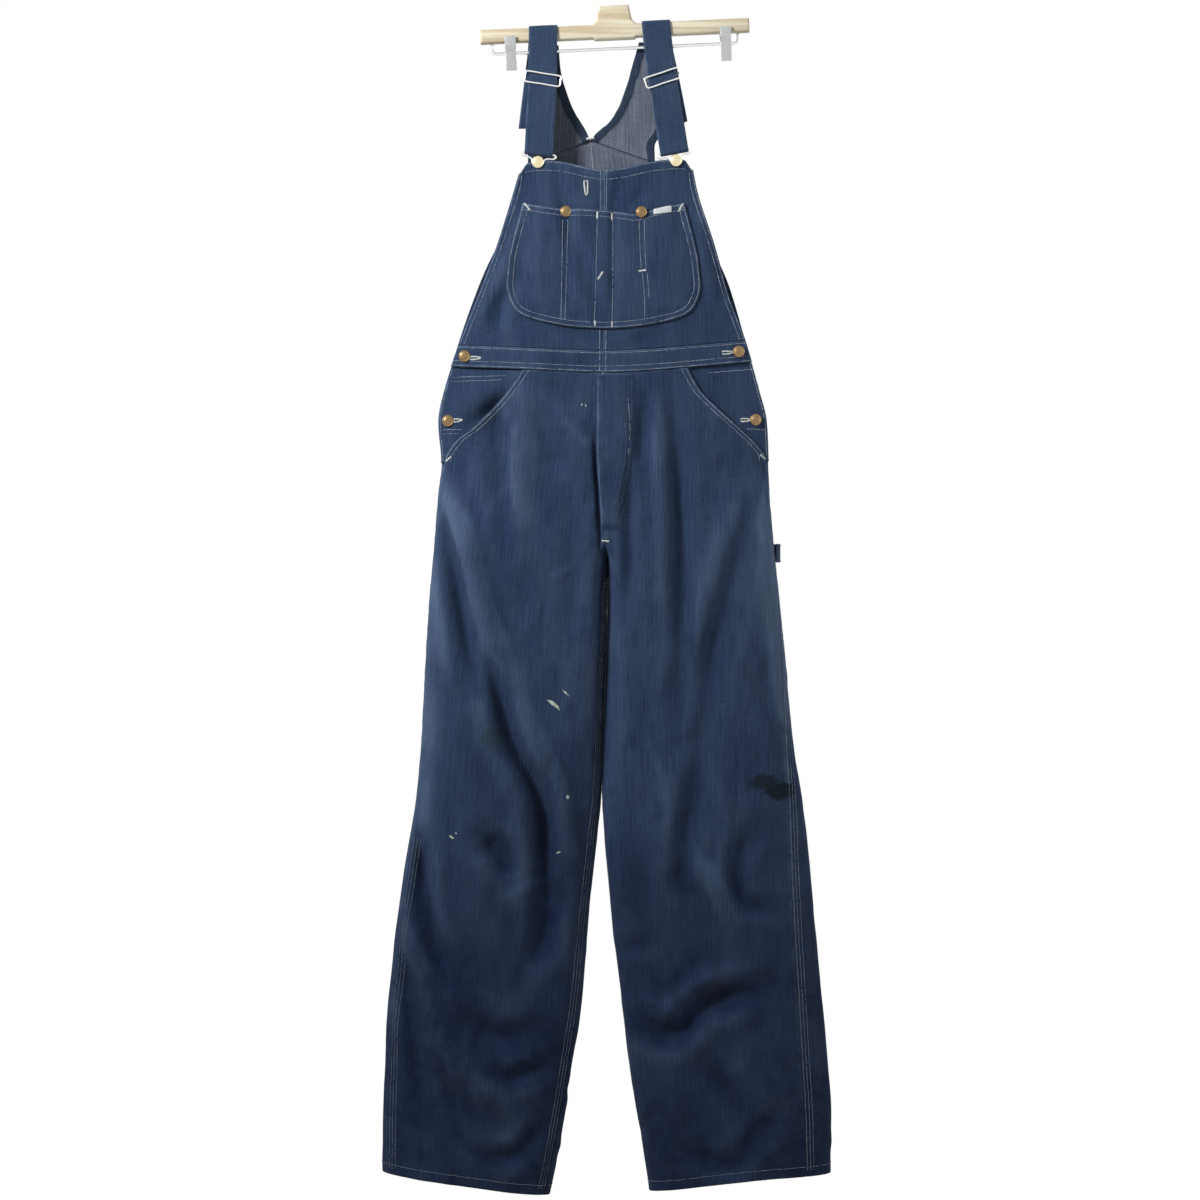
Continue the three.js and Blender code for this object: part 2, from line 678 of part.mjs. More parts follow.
// A tack button, its axis along +Z: a neck of the given length under a low domed head.
function tackButton(radius, length) {
  const outline = [
    [0, 0], [3, 0], [3, length], [radius - 0.8, length], [radius, length + 0.8],
    [radius - 0.7, length + 1.8], [radius * 0.5, length + 2.7], [0, length + 2.9],
  ];
  const sides = 12;
  return new THREE.LatheGeometry(outline.map((p) => new THREE.Vector2(...p)), sides).rotateX(Math.PI / 2);
}

// The wooden top of the hanger, with its foot point at the middle of the neck's top.
function woodTop() {
  const top = barTop - shankFoot;
  const foot = top - 18;
  const [end, bevel] = [175, 2];
  const outline = [
    [-end, foot], [-28, foot], [-26, foot - 2], [26, foot - 2], [28, foot], [end, foot], [end, top],
    [28, top], [23, top + 5], [19.5, 0], [-19.5, 0], [-23, top + 5], [-28, top], [-end, top],
  ];
  const shape = new THREE.Shape(outline.map((p) => new THREE.Vector2(...p)));
  const depth = 2 * barHalf - 2 * bevel;
  const sizes = { depth, bevelThickness: bevel, bevelSize: bevel, bevelOffset: -bevel, bevelSegments: 1 };
  return new THREE.ExtrudeGeometry(shape, { ...sizes, steps: 1 }).translate(0, 0, -depth / 2).rotateX(Math.PI / 2);
}

const hookWire = 1.9;
function hook() {
  const inner = 19.1;
  const bend = Array.from({ length: 12 }, (_, i) => {
    const angle = THREE.MathUtils.degToRad(lerp(205, -35, i / 11));
    return [Math.cos(angle) * (inner + hookWire), 0, -inner + Math.sin(angle) * (inner + hookWire)];
  });
  const shank = [[9.5, 0, -41], [2.2, 0, -48], [0, 0, -54], [0, 0, shankFoot + gap]];
  return wireRun([...bend, ...shank], hookWire, 26, 8);
}

// The steel rod under the wood, its ends turned up to it, and the two clips that hang on it.
const rod = { radius: 2.2, half: 160, z: -55.5 };
function rodWire() {
  const top = barTop - shankFoot - 18 - gap;
  const corner = 5;
  const { half: end, z } = rod;
  return wireRun([
    [-end, 0, top], [-end, 0, z + corner], [-end + 1.5, 0, z + 1.5], [-end + corner, 0, z],
    [-end + 2 * corner, 0, z], [0, 0, z], [end - 2 * corner, 0, z],
    [end - corner, 0, z], [end - 1.5, 0, z + 1.5], [end, 0, z + corner], [end, 0, top],
  ], rod.radius, 34, 8);
}

// Half of a clip's outline from its handle down to its jaw, as [depth, height] about the rod.
const clipWidth = 14;
const clipHalf = [
  [-10.4, 21], [-9.2, 21], [-9.2, 8.5], [-3.2, 3.6], [0, 4.6], [3.2, 3.6], [9.2, 8.5], [9.2, 21],
  [10.4, 21], [10.4, 8], [4.6, 2.2], [4.6, -2], [1.6, -20], [1.6, -22], [0.4, -22], [0.4, -19],
  [2.6, -4.2], [0, -4.6], [-2.6, -4.2], [-0.4, -19], [-0.4, -22], [-1.6, -22], [-1.6, -20],
  [-4.6, -2], [-4.6, 2.2], [-10.4, 8],
];
function clip() {
  const shape = new THREE.Shape(clipHalf.map((p) => new THREE.Vector2(...p)));
  const eye = Array.from({ length: 10 }, (_, i) => {
    const angle = (2 * Math.PI * i) / 10;
    return new THREE.Vector2(Math.cos(angle), Math.sin(angle)).multiplyScalar(rod.radius + 0.6);
  });
  shape.holes.push(new THREE.Path(eye));
  const options = { depth: clipWidth, bevelEnabled: false };
  const plate = new THREE.ExtrudeGeometry(shape, options).translate(0, 0, -clipWidth / 2);
  return plate.rotateX(Math.PI / 2).rotateZ(Math.PI / 2);
}

// ---------------------------------------------------------------- the object

const indigo = { color: 0x39486b, roughness: 0.92, metalness: 0 };
const faded = { color: 0x6a7690, roughness: 0.94, metalness: 0 };
const steel = { color: 0xc9cbc8, roughness: 0.32, metalness: 1 };
const brass = { color: 0x9a7a4c, roughness: 0.45, metalness: 1 };
const pale = { color: 0xd9c9a0, roughness: 0.4, metalness: 1 };
const wood = { color: 0xd8bf94, roughness: 0.55, metalness: 0 };
const white = { color: 0xdfe3e6, roughness: 0.85, metalness: 0 };

const overalls = new THREE.Group();

function piece(name, geometry, look, parent = overalls) {
  const mesh = new THREE.Mesh(geometry, new THREE.MeshStandardMaterial(look));
  mesh.name = name;
  parent.add(mesh);
  return mesh;
}

for (const [name, side] of [['right', -1], ['left', 1]]) {
  piece(`front_leg_${name}`, frontLeg(side), indigo);
  piece(`back_${name}`, backPanel(side), indigo);
  piece(`side_facing_${name}`, sideFacing(side), indigo);
  piece(`bib_${name}`, bib(side), indigo);
  piece(`yoke_${name}`, yoke(side), faded);
  piece(`strap_${name}`, strap(straps[name]), indigo);
}
piece('waistband', waistband(), indigo);
piece('bib_pocket', bibPocket(), indigo);
piece('fly', flyFlap(), indigo);
piece('label', label(), white);
piece('hammer_loop', hammerLoop(), indigo);

// Buttons stand on the front, square to it. Each is [name, x, z, distance off the front].
const outward = vec(0, 0, 1);
const onPocket = pocket.off + gap;
const buttons = [
  ['pocket_button_right', -61.8, -331, onPocket, 7.4, 0.5, brass],
  ['pocket_button_left', 35.8, -332.5, onPocket, 7.4, 0.5, brass],
  ['side_button_right', -193, -518, gap, buttonRadius, 0.5, brass],
  ['side_button_left', 162, -512, gap, buttonRadius, 0.5, brass],
  ['hip_button_right', -215, -601.5, gap - layer, buttonRadius, 0.5, brass],
  ['hip_button_left', 184.5, -600, gap - layer, buttonRadius, 0.5, brass],
];
for (const [name, x, z, off, radius, length, look] of buttons) {
  const mesh = piece(name, tackButton(radius, length), look);
  mesh.position.copy(offFront(x, z, off));
  mesh.quaternion.setFromUnitVectors(outward, frontNormal(x, z));
}

// Sliders, buckles and the buttons that hold the buckles to the bib.
for (const name of ['right', 'left']) {
  const { slider, buckle } = straps[name];
  const frame = piece(`slider_${name}`, sliderWire(), steel);
  frame.position.set(slider.x, -sliderDepth - loop - sliderPlay, slider.z);
  frame.rotation.y = -slider.tilt;
  const catcher = piece(`buckle_${name}`, buckleWire(), steel);
  catcher.position.set(buckle.x, -buckleDepth, buckle.z);
  catcher.rotation.y = -buckle.tilt;
  const reach = neck.low + neck.radius - wire - 3 - gap - 0.6;
  const at = vec(buckle.x, 0, buckle.z).addScaledVector(tiltUp(buckle.tilt), -reach);
  const foot = offFront(at.x, at.z, gap);
  const button = piece(`strap_button_${name}`, tackButton(buttonRadius, buckleDepth + wire + gap + foot.y), pale);
  button.position.copy(foot);
  button.quaternion.setFromUnitVectors(outward, vec(0, -1, 0));
}

// The hanger hangs from its hook, a little lower on the wearer's right.
piece('hanger_hook', hook(), steel);
const hanger = new THREE.Group();
hanger.position.z = shankFoot;
hanger.rotation.y = -hangerTilt;
overalls.add(hanger);
piece('hanger_wood', woodTop(), wood, hanger);
piece('hanger_rod', rodWire(), steel, hanger);
for (const [name, x] of [['right', -136], ['left', 143.5]]) {
  piece(`hanger_clip_${name}`, clip(), steel, hanger).position.set(x, 0, rod.z);
}

export default overalls;
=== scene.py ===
"""The looks of worn denim bib overalls on a clip hanger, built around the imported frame.

The cloth repeats the form of its CAD panels at a finer pitch, and adds creases, seams, stitching,
wear and stains. Garment lengths are millimetres, and MM turns them to metres where a mesh is made.
-Y is the front, -X the wearer's right. A side is -1 for the wearer's right half and 1 for the left.
"""

import math

import bpy
import numpy as np
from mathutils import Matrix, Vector
from mathutils.bvhtree import BVHTree


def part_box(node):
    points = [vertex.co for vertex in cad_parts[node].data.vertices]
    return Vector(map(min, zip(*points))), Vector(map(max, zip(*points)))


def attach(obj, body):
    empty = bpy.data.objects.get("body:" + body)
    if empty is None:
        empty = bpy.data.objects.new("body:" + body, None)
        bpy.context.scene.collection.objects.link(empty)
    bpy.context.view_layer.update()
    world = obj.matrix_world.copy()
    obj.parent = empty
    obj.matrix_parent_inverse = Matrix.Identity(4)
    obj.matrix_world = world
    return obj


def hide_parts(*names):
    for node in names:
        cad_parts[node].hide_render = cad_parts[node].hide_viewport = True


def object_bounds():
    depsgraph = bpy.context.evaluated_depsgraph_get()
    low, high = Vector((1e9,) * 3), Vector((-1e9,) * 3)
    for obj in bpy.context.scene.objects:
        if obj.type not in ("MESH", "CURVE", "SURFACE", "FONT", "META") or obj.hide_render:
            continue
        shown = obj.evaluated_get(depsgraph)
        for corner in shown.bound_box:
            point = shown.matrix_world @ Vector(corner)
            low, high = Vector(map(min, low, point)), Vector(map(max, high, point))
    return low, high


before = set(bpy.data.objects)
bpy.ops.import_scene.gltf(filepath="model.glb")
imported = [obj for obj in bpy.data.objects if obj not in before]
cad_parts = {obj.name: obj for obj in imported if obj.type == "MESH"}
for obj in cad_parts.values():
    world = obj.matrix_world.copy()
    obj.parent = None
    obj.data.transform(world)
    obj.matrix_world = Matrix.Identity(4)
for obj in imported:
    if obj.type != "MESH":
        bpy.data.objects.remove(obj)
cad_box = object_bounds()
MM = 0.001
RIGHT, LEFT = -1, 1
SIDES = {RIGHT: "right", LEFT: "left"}

# ---------------------------------------------------------------- driving sizes

DENIM = 1.6  # one layer of cloth
GAP = 0.3
SEAM = 0.0012  # half of the space at a sewn seam, as a share of the way round a half
LAYER = DENIM + GAP

SHANK_FOOT = -62
BAR_TOP = -86
BACK_TOP = -232
BIB_TOP = -268
WAIST_TOP = -509.5
WAIST_LINE = -538
MOUTH_FOOT = -650
RISE_TURN = -742
CROTCH = -780
HEM_LEVEL = -1589

STRAP_WIDTH = 37
STRAP_THICK = 1.8
WIRE = 1.15
HANGER_TILT = math.radians(2.6)

COARSE = 4.2  # pitch of the cloth's grid in the middle of a panel
FINE = 2.0  # and near its edges

# ---------------------------------------------------------------- numbers and curves


def lerp(a, b, t):
    return a + (b - a) * t


def ease(value, start, end):
    t = np.clip((value - start) / (end - start), 0, 1)
    return t * t * (3 - 2 * t)


def bell(value, width):
    return np.exp(-((value / width) ** 2))


def profile(*points):
    """A smooth curve through (key, value) pairs with rising keys, held flat past its ends."""
    keys, values = np.array(points, float).T
    last = len(keys) - 1
    after, before = np.minimum(np.arange(last + 1) + 1, last), np.maximum(np.arange(last + 1) - 1, 0)
    slopes = (values[after] - values[before]) / (keys[after] - keys[before])

    def at(key):
        key = np.clip(key, keys[0], keys[-1])
        i = np.clip(np.searchsorted(keys, key) - 1, 0, last - 1)
        step = keys[i + 1] - keys[i]
        t = (key - keys[i]) / step
        rise = t * t * (3 - 2 * t) * (values[i + 1] - values[i])
        ends = (t - 2 * t * t + t**3) * slopes[i] + (t**3 - t * t) * slopes[i + 1]
        return values[i] + rise + ends * step

    return at


def lengths(line):
    """How far along a line of points each of them is."""
    return np.r_[0, np.cumsum(np.linalg.norm(np.diff(line, axis=0), axis=1))]


def at_lengths(line, wanted):
    """Points at these lengths along a line, or rows of anything else that goes with its points."""
    along = lengths(line[:, :3])
    return np.stack([np.interp(wanted, along, line[:, k]) for k in range(line.shape[1])], axis=1)


def spaced(line, step):
    """A line of points again, about step apart."""
    total = lengths(line[:, :3])[-1]
    return at_lengths(line, np.linspace(0, total, max(2, round(total / step) + 1)))


def smooth(points, step, closed=False):
    """A smooth curve through points, as a line of points about step apart."""
    through = np.array(points, float)
    if closed:
        through = np.vstack([through[-2:], through, through[:3]])
    keys = np.r_[0, np.cumsum(np.sqrt(np.linalg.norm(np.diff(through[:, :3], axis=0), axis=1)))]
    ends = (keys[2], keys[-3]) if closed else (keys[0], keys[-1])
    fine = np.linspace(*ends, 24 * len(points))
    line = np.stack([profile(*zip(keys, column))(fine) for column in through.T], axis=1)
    return spaced(line, step)


def noise(x, y, seed):
    """Smooth noise from -1 to 1, with bumps about one unit across."""
    column, row = np.floor(x).astype(np.int64), np.floor(y).astype(np.int64)
    fx, fy = x - column, y - row
    fx, fy = (f**3 * (f * (6 * f - 15) + 10) for f in (fx, fy))

    def corner(i, j):
        mixed = (i * 374761393 + j * 668265263 + seed * 974634777) & 0xFFFFFFFF
        mixed = ((mixed ^ (mixed >> 13)) * 1274126177) & 0xFFFFFFFF
        return ((mixed ^ (mixed >> 16)) & 0xFFFF) / 32767.5 - 1

    top = lerp(corner(column, row), corner(column + 1, row), fx)
    foot = lerp(corner(column, row + 1), corner(column + 1, row + 1), fx)
    return lerp(top, foot, fy)


def unit(vectors):
    return vectors / np.maximum(np.linalg.norm(vectors, axis=-1, keepdims=True), 1e-9)


# ---------------------------------------------------------------- outline of the garment

LEG_RIGHT = [
    (-1576, -301), (-1484, -299), (-1354, -292), (-1224, -277), (-1159, -268), (-1094, -257),
    (-1029, -251), (-899, -244), (-780, -235.5), (-704, -229.5), (-655, -224.5), (-607, -228),
    (-574, -222),
]
LEG_LEFT = [
    (-1576, 283), (-1484, 281), (-1354, 271), (-1224, 258), (-1094, 245), (-1029, 236),
    (-899, 222), (-780, 210), (-704, 204), (-655, 202), (-607, 199), (-574, 190),
]
BIB_RIGHT = [(-505, -200), (-444, -177), (-379, -153.5), (-314, -133.5), (-270, -121)]
BIB_LEFT = [(-505, 170), (-444, 150), (-379, 132), (-314, 111), (-266, 101)]
ARM_RIGHT = [(-509, -205), (-444, -183), (-379, -157), (-334, -136), (-290, -120), (-240, -111.5)]
ARM_LEFT = [
    (-509, 175), (-444, 157), (-412, 146), (-373, 128), (-334, 99), (-288, 72), (-256, 54), (-230, 54),
]
FRONT_EDGE = {RIGHT: profile(*LEG_RIGHT, *BIB_RIGHT), LEFT: profile(*LEG_LEFT, *BIB_LEFT)}
BACK_EDGE = {RIGHT: profile(*LEG_RIGHT, *ARM_RIGHT), LEFT: profile(*LEG_LEFT, *ARM_LEFT)}

CENTRE_FRONT = profile((-780, -6), (-700, -12), (-538, -14), (-277, -13))
CENTRE_BACK = profile((-780, -6), (-538, -14), (-400, -18), (-232, -30))
INNER_EDGE = {
    RIGHT: profile(
        (-1605, -84), (-1484, -62), (-1354, -42), (-1224, -30.5), (-1094, -17), (-940, -12.5),
        (-780, -6.4),
    ),
    LEFT: profile(
        (-1600, 48), (-1484, 29), (-1354, 11), (-1224, -4.5), (-1094, -14), (-940, -11.5), (-780, -5.6)
    ),
}

FRONT_DEPTH = profile(
    (-1590, 33), (-1400, 31), (-1200, 30), (-1000, 33), (-780, 33), (-650, 30), (-538, 25), (-277, 15)
)
BACK_DEPTH = profile(
    (-1590, 31), (-1300, 30), (-1000, 35), (-780, 38), (-650, 32), (-538, 24), (-400, 19), (-240, 14)
)
SIDE_DEPTH = profile((-676, LAYER), (-650, 4), (-560, 5), (-510, 6), (-400, 9), (-277, 11))

HEM_DROP = {
    RIGHT: profile((-301, 14), (-84, -16)),
    LEFT: profile((48, -11), (83, -6), (131, 1), (197, 8), (283, 12)),
}
WAIST_SAG = profile((-210, 6.5), (-140, 3), (-14, -2.5), (60, 1), (175, 12))
BIB_SAG = profile(
    (-121, -5), (-113, 0.5), (-74, 2.3), (-28, -7), (-13, -9), (13, -6), (52, 2.3), (92, 5), (101, 0)
)
VEE_DROP = 30

OUT_SEAM = {
    RIGHT: profile((-1590, 0.9), (-1160, 0.94), (-800, 1)),
    LEFT: profile((-1590, 0.75), (-1400, 0.76), (-1145, 0.81), (-985, 0.87), (-700, 1)),
}
IN_SEAM = {
    RIGHT: profile((-1590, 0.13), (-1000, 0.05), (-785, 0)),
    LEFT: profile((-1590, -0.12), (-785, 0)),
}
MOUTH = {
    RIGHT: profile(
        (-650, -219), (-629, -202), (-618, -185), (-595, -159), (-578, -145), (-556, -129), (-538, -118)
    ),
    LEFT: profile((-650, 197), (-634, 181), (-613, 157), (-590, 132), (-568, 112), (-538, 96)),
}


def rounding(across, reach):
    return np.sqrt(np.clip(1 - np.clip(1 - across / reach, 0, None) ** 3, 0, None))


def surface(side, s, level):
    """Points of the smooth outer form of one half: s is 0 to 1 over the front, 1 to 2 over the back."""
    around = np.mod(s, 2)
    front = around <= 1
    turn = np.where(front, around, 2 - around)
    trunk = np.where(front, CENTRE_FRONT(level), CENTRE_BACK(level))
    inner = np.where(level < CROTCH, INNER_EDGE[side](level), trunk)
    outer = np.where(front, FRONT_EDGE[side](level), BACK_EDGE[side](level))
    tube = 1 - ease(level, CROTCH, MOUTH_FOOT)
    across = lerp(turn, (1 - np.cos(np.pi * turn)) / 2, tube)
    x = lerp(inner, outer, across)

    middle = np.where(front, FRONT_DEPTH(level), BACK_DEPTH(level))
    edge = SIDE_DEPTH(level)
    lens = edge + (middle - edge) * (1 - across**2.4)
    round_form = middle * rounding(1 - across, 0.5)
    under = np.clip((RISE_TURN - level) / (RISE_TURN - CROTCH), 0, 1)
    inside = rounding(across, lerp(0.14, 0.5, ease(level, CROTCH, CROTCH - 380)))
    depth = lerp(lens, round_form, tube) * np.sqrt(1 - (1 - inside**2) * under**2)
    depth = np.where(front, -depth, depth)
    x = x + 0.22 * depth * np.exp(-across / 0.05) * under * (1 - ease(level, -1080, -1200))

    up = np.clip((level - WAIST_TOP) / (BIB_TOP - WAIST_TOP), 0, 1)
    sag = lerp(WAIST_SAG(x) * ease(level, WAIST_LINE - 200, WAIST_LINE), BIB_SAG(x), up)
    drop = VEE_DROP * across * ease(level, BACK_TOP - 190, BACK_TOP)
    lift = HEM_DROP[side](x) * ease(level, HEM_LEVEL + 500, HEM_LEVEL) + np.where(front, sag, -drop)
    return np.stack([x, depth, level + lift], axis=-1)


# ---------------------------------------------------------------- creases
# Each is a path of (x, z) over the front or the back, with its depth and half width. A trough's depth is
# positive. A crease fades towards both of its ends. The wearer's right leg has the deeper creases.

RIGHT_LEG_CREASES, LEFT_LEG_CREASES = 1.7, 1.15  # what the depths are multiplied by
LEG_PARTING = -12
SMALL_CREASES = 150

FRONT_CREASES = [
    # right thigh, from the hip to the inside of the knee
    ([(-224, -721), (-210, -786), (-195, -860), (-177, -951)], 6, 14),
    ([(-221, -695), (-200, -747), (-173, -834), (-131, -938)], -5, 14),
    ([(-157, -921), (-131, -1012), (-95, -1081), (-86, -1150), (-92, -1285)], 8, 15),
    ([(-221, -734), (-206, -802), (-191, -871), (-179, -931)], 2.2, 6.5),
    ([(-158, -900), (-150, -952), (-128, -1017), (-101, -1071), (-88, -1116), (-83, -1169)], 2.8, 6.5),
    ([(-128, -935), (-108, -1010), (-72, -1090), (-62, -1170)], -3, 12),
    ([(-121, -548), (-118, -674), (-125, -726)], -4, 16),
    ([(-86, -548), (-47, -587)], 2.2, 9),
    ([(-66, -600), (-27, -643)], -1.6, 9),
    ([(-150, -640), (-142, -720), (-150, -800)], 2, 12),
    ([(-60, -700), (-52, -800), (-58, -900)], 2, 12),
    # left thigh
    ([(76, -555), (82, -687), (90, -825), (86, -955), (77, -1042)], 7, 12),
    ([(64, -557), (64, -740), (52, -825)], -4, 14),
    ([(44, -560), (38, -609), (34, -665)], 3, 8),
    ([(20, -655), (21, -765), (15, -860)], 4, 8),
    ([(187, -708), (152, -812), (116, -955), (109, -1116)], 6, 17),
    ([(160, -700), (132, -800), (104, -900)], -2.5, 14),
    ([(198, -900), (194, -990)], 2, 9),
    ([(-8, -800), (-8, -920), (-8, -1085)], 4, 9),
    # right knee and shin
    ([(-170, -1142), (-144, -1163), (-131, -1194)], 6, 14),
    ([(-253, -1142), (-250, -1220), (-238, -1265), (-219, -1324)], 7, 13),
    ([(-260, -1122), (-247, -1200), (-224, -1289), (-206, -1334)], 1.8, 5.5),
    ([(-268, -1272), (-229, -1328)], -3, 10),
    ([(-275, -1293), (-262, -1371), (-252, -1445), (-241, -1510)], 4, 11),
    ([(-213, -1410), (-187, -1449), (-144, -1488)], -5, 15),
    ([(-190, -1370), (-150, -1400), (-110, -1392)], 4, 16),
    ([(-144, -1454), (-110, -1446), (-83, -1432)], 4, 12),
    ([(-164, -1553), (-125, -1549), (-92, -1514)], 4, 12),
    ([(-60, -1180), (-85, -1260), (-120, -1330)], 3, 13),
    # left knee and shin
    ([(103, -1068), (87, -1176), (88, -1206), (109, -1220)], 6, 12),
    ([(99, -1163), (125, -1194), (142, -1220), (155, -1259)], -4, 11),
    ([(178, -1133), (161, -1172), (168, -1220), (213, -1237)], 6, 12),
    ([(31, -1380), (73, -1397), (116, -1358), (160, -1345), (200, -1328)], 9, 15),
    ([(40, -1350), (80, -1362), (112, -1330), (150, -1315)], -4, 13),
    ([(12, -1285), (51, -1276)], 3, 10),
    ([(96, -1549), (151, -1562), (181, -1532), (213, -1497)], 5, 12),
    ([(242, -1319), (265, -1345)], 3, 9),
    ([(246, -1467), (278, -1493)], 3, 9),
    ([(120, -1430), (150, -1470), (170, -1520)], 3, 15),
    # bib and pocket
    ([(-76, -279), (-66, -314), (-53, -366), (-34, -414), (-24, -461)], 2.4, 9),
    ([(6, -290), (-1, -349), (0, -431), (-1, -470)], 2.6, 6),
    ([(16, -325), (44, -301)], 1.8, 7),
    ([(-138, -427), (-148, -453), (-157, -487)], 2.6, 9),
    ([(-118, -330), (-140, -400), (-168, -470)], -2, 12),
    ([(122, -357), (142, -422), (155, -466)], 2.6, 9),
    ([(98, -300), (118, -370), (134, -440)], -2, 12),
    ([(-70, -480), (-27, -502)], 2, 8),
    ([(20, -505), (60, -488)], 1.4, 8),
]

BACK_CREASES = [
    ([(-190, -640), (-150, -760), (-90, -860)], 6, 17),
    ([(150, -640), (120, -760), (50, -860)], 6, 17),
    ([(-60, -700), (-90, -800), (-150, -900)], 3, 13),
    ([(60, -720), (100, -830), (150, -920)], 3, 13),
    ([(-200, -1010), (-140, -1090), (-90, -1110)], 7, 16),
    ([(190, -1020), (120, -1100), (60, -1120)], 7, 16),
    ([(-70, -1010), (-130, -1060), (-200, -1090)], 3, 12),
    ([(40, -1020), (110, -1070), (180, -1090)], 3, 12),
    ([(-240, -1150), (-210, -1260), (-205, -1400)], 6, 15),
    ([(220, -1160), (180, -1290), (185, -1420)], 6, 15),
    ([(-110, -1180), (-150, -1300), (-140, -1420)], 4, 14),
    ([(70, -1190), (110, -1320), (100, -1440)], 4, 14),
    ([(-120, -1500), (-180, -1530), (-240, -1520)], 4, 12),
    ([(110, -1510), (170, -1545), (230, -1520)], 4, 12),
    ([(-120, -420), (-125, -520), (-140, -600)], 3, 14),
    ([(90, -420), (98, -520), (110, -600)], 3, 14),
    ([(-60, -300), (-70, -380), (-62, -450)], 2.4, 10),
    ([(15, -300), (28, -380), (20, -450)], 2.4, 10),
    ([(-100, -280), (-118, -360), (-140, -430)], 2, 10),
    ([(48, -300), (80, -370), (110, -430)], 2, 10),
]


def crease_field(creases, x, z):
    """How far creases push a place outwards, in millimetres."""
    total = np.zeros_like(x)
    for points, depth, width in creases:
        line = smooth(points, 5)
        reach = 3.2 * width
        low, high = line.min(0) - reach, line.max(0) + reach
        near = (x > low[0]) & (x < high[0]) & (z > low[1]) & (z < high[1])
        if not near.any():
            continue
        away = np.hypot(x[near][:, None] - line[:, 0], z[near][:, None] - line[:, 1])
        nearest = away.argmin(1)
        along = nearest / (len(line) - 1)
        across = away.min(1) / width
        section = np.exp(-(across**2)) - 0.28 * bell(across - 2, 0.8)
        taper = ease(along, -0.15, 0.3) * ease(along, 1.15, 0.7)
        strength = RIGHT_LEG_CREASES if line[0, 0] < LEG_PARTING else LEFT_LEG_CREASES
        total[near] -= strength * depth * taper * section
    return total


def small_creases(x, z, front):
    """Short soft creases of wear, scattered with a fixed seed and denser towards the hems."""
    draw = np.random.default_rng(11 if front else 12)
    creases = []
    for _ in range(SMALL_CREASES):
        level = lerp(-560, HEM_LEVEL, draw.random() ** 0.8)
        place = draw.uniform(-0.95, 0.95)
        half = lerp(200, 285, (level + 560) / (HEM_LEVEL + 560))
        start = np.array([place * half, level])
        lean = draw.normal(0, 0.55)
        length = draw.uniform(25, 85)
        end = start + length * np.array([math.sin(lean), -math.cos(lean)])
        bend = (start + end) / 2 + draw.normal(0, 5, 2)
        depth, width = draw.uniform(-1.1, 1.3), draw.uniform(4.5, 9)
        creases.append(([tuple(start), tuple(bend), tuple(end)], depth, width))
    return crease_field(creases, x, z)


def rumple(x, z):
    """The cloth's own unevenness: long soft waves down the warp, and small ones."""
    low = ease(z, -700, -1500)
    long_waves = noise(x / 34 + 3, z / 190, 1) * lerp(0.9, 1.3, low)
    patches = noise(x / 46, z / 60 + 9, 2) * lerp(0.6, 1.5, low)
    small = noise(x / 15, z / 24, 3) * lerp(0.22, 0.45, low)
    return long_waves + patches + small


def folds(x, z, front):
    """All the creases of the front or the back."""
    return crease_field(FRONT_CREASES if front else BACK_CREASES, x, z) + small_creases(x, z, front)


# ---------------------------------------------------------------- places on the front


def front_base(x, z):
    """Points of the smooth front form at these places."""
    x, z = np.broadcast_arrays(np.asarray(x, float), np.asarray(z, float))
    level = z.copy()
    for _ in range(4):
        found = {}
        for side in SIDES:
            low, high = np.zeros_like(level), np.ones_like(level)
            for _ in range(18):
                s = (low + high) / 2
                short = side * (surface(side, s, level)[..., 0] - x) < 0
                low, high = np.where(short, s, low), np.where(short, high, s)
            found[side] = surface(side, (low + high) / 2, level)
        place = np.where((x < CENTRE_FRONT(level))[..., None], found[RIGHT], found[LEFT])
        level = level + z - place[..., 2]
    return place


def front_normal(x, z):
    step = 2
    across = front_base(x + step, z) - front_base(x - step, z)
    up = front_base(x, z + step) - front_base(x, z - step)
    return unit(np.cross(across, up))


def on_front(x, z, off=0.0):
    """Points of the creased front, held off it by a distance, and the way it faces there."""
    x, z = np.broadcast_arrays(np.asarray(x, float), np.asarray(z, float))
    normal = front_normal(x, z)
    relief = folds(x.ravel(), z.ravel(), True) + rumple(x.ravel(), z.ravel())
    lift = relief.reshape(x.shape) + off
    return front_base(x, z) + normal * lift[..., None], normal


# ---------------------------------------------------------------- meshes


def add_mesh(name, points, faces, materials, slot=None, nodes=(), uv=None, values=None, kinds=None):
    """One smooth-shaded piece from points in millimetres, riding on the only body."""
    mesh = bpy.data.meshes.new(name)
    mesh.from_pydata((np.asarray(points) * MM).tolist(), [], [list(map(int, f)) for f in faces])
    for material in materials:
        mesh.materials.append(material)
    if kinds is not None:
        mesh.polygons.foreach_set("material_index", np.asarray(kinds, np.int32))
    if uv is not None:
        corner = np.zeros(len(mesh.loops), np.int32)
        mesh.loops.foreach_get("vertex_index", corner)
        layer = mesh.uv_layers.new(name="cloth")
        layer.data.foreach_set("uv", (np.asarray(uv)[corner] * MM).astype(np.float32).ravel())
    for key, value in (values or {}).items():
        attribute = mesh.attributes.new(key, "FLOAT", "POINT")
        attribute.data.foreach_set("value", np.asarray(value, np.float32).ravel())
    mesh.polygons.foreach_set("use_smooth", np.ones(len(mesh.polygons), bool))
    mesh.update()
    piece = bpy.data.objects.new(name, mesh)
    bpy.context.scene.collection.objects.link(piece)
    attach(piece, "root")
    if nodes:
        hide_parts(*nodes)
    return piece


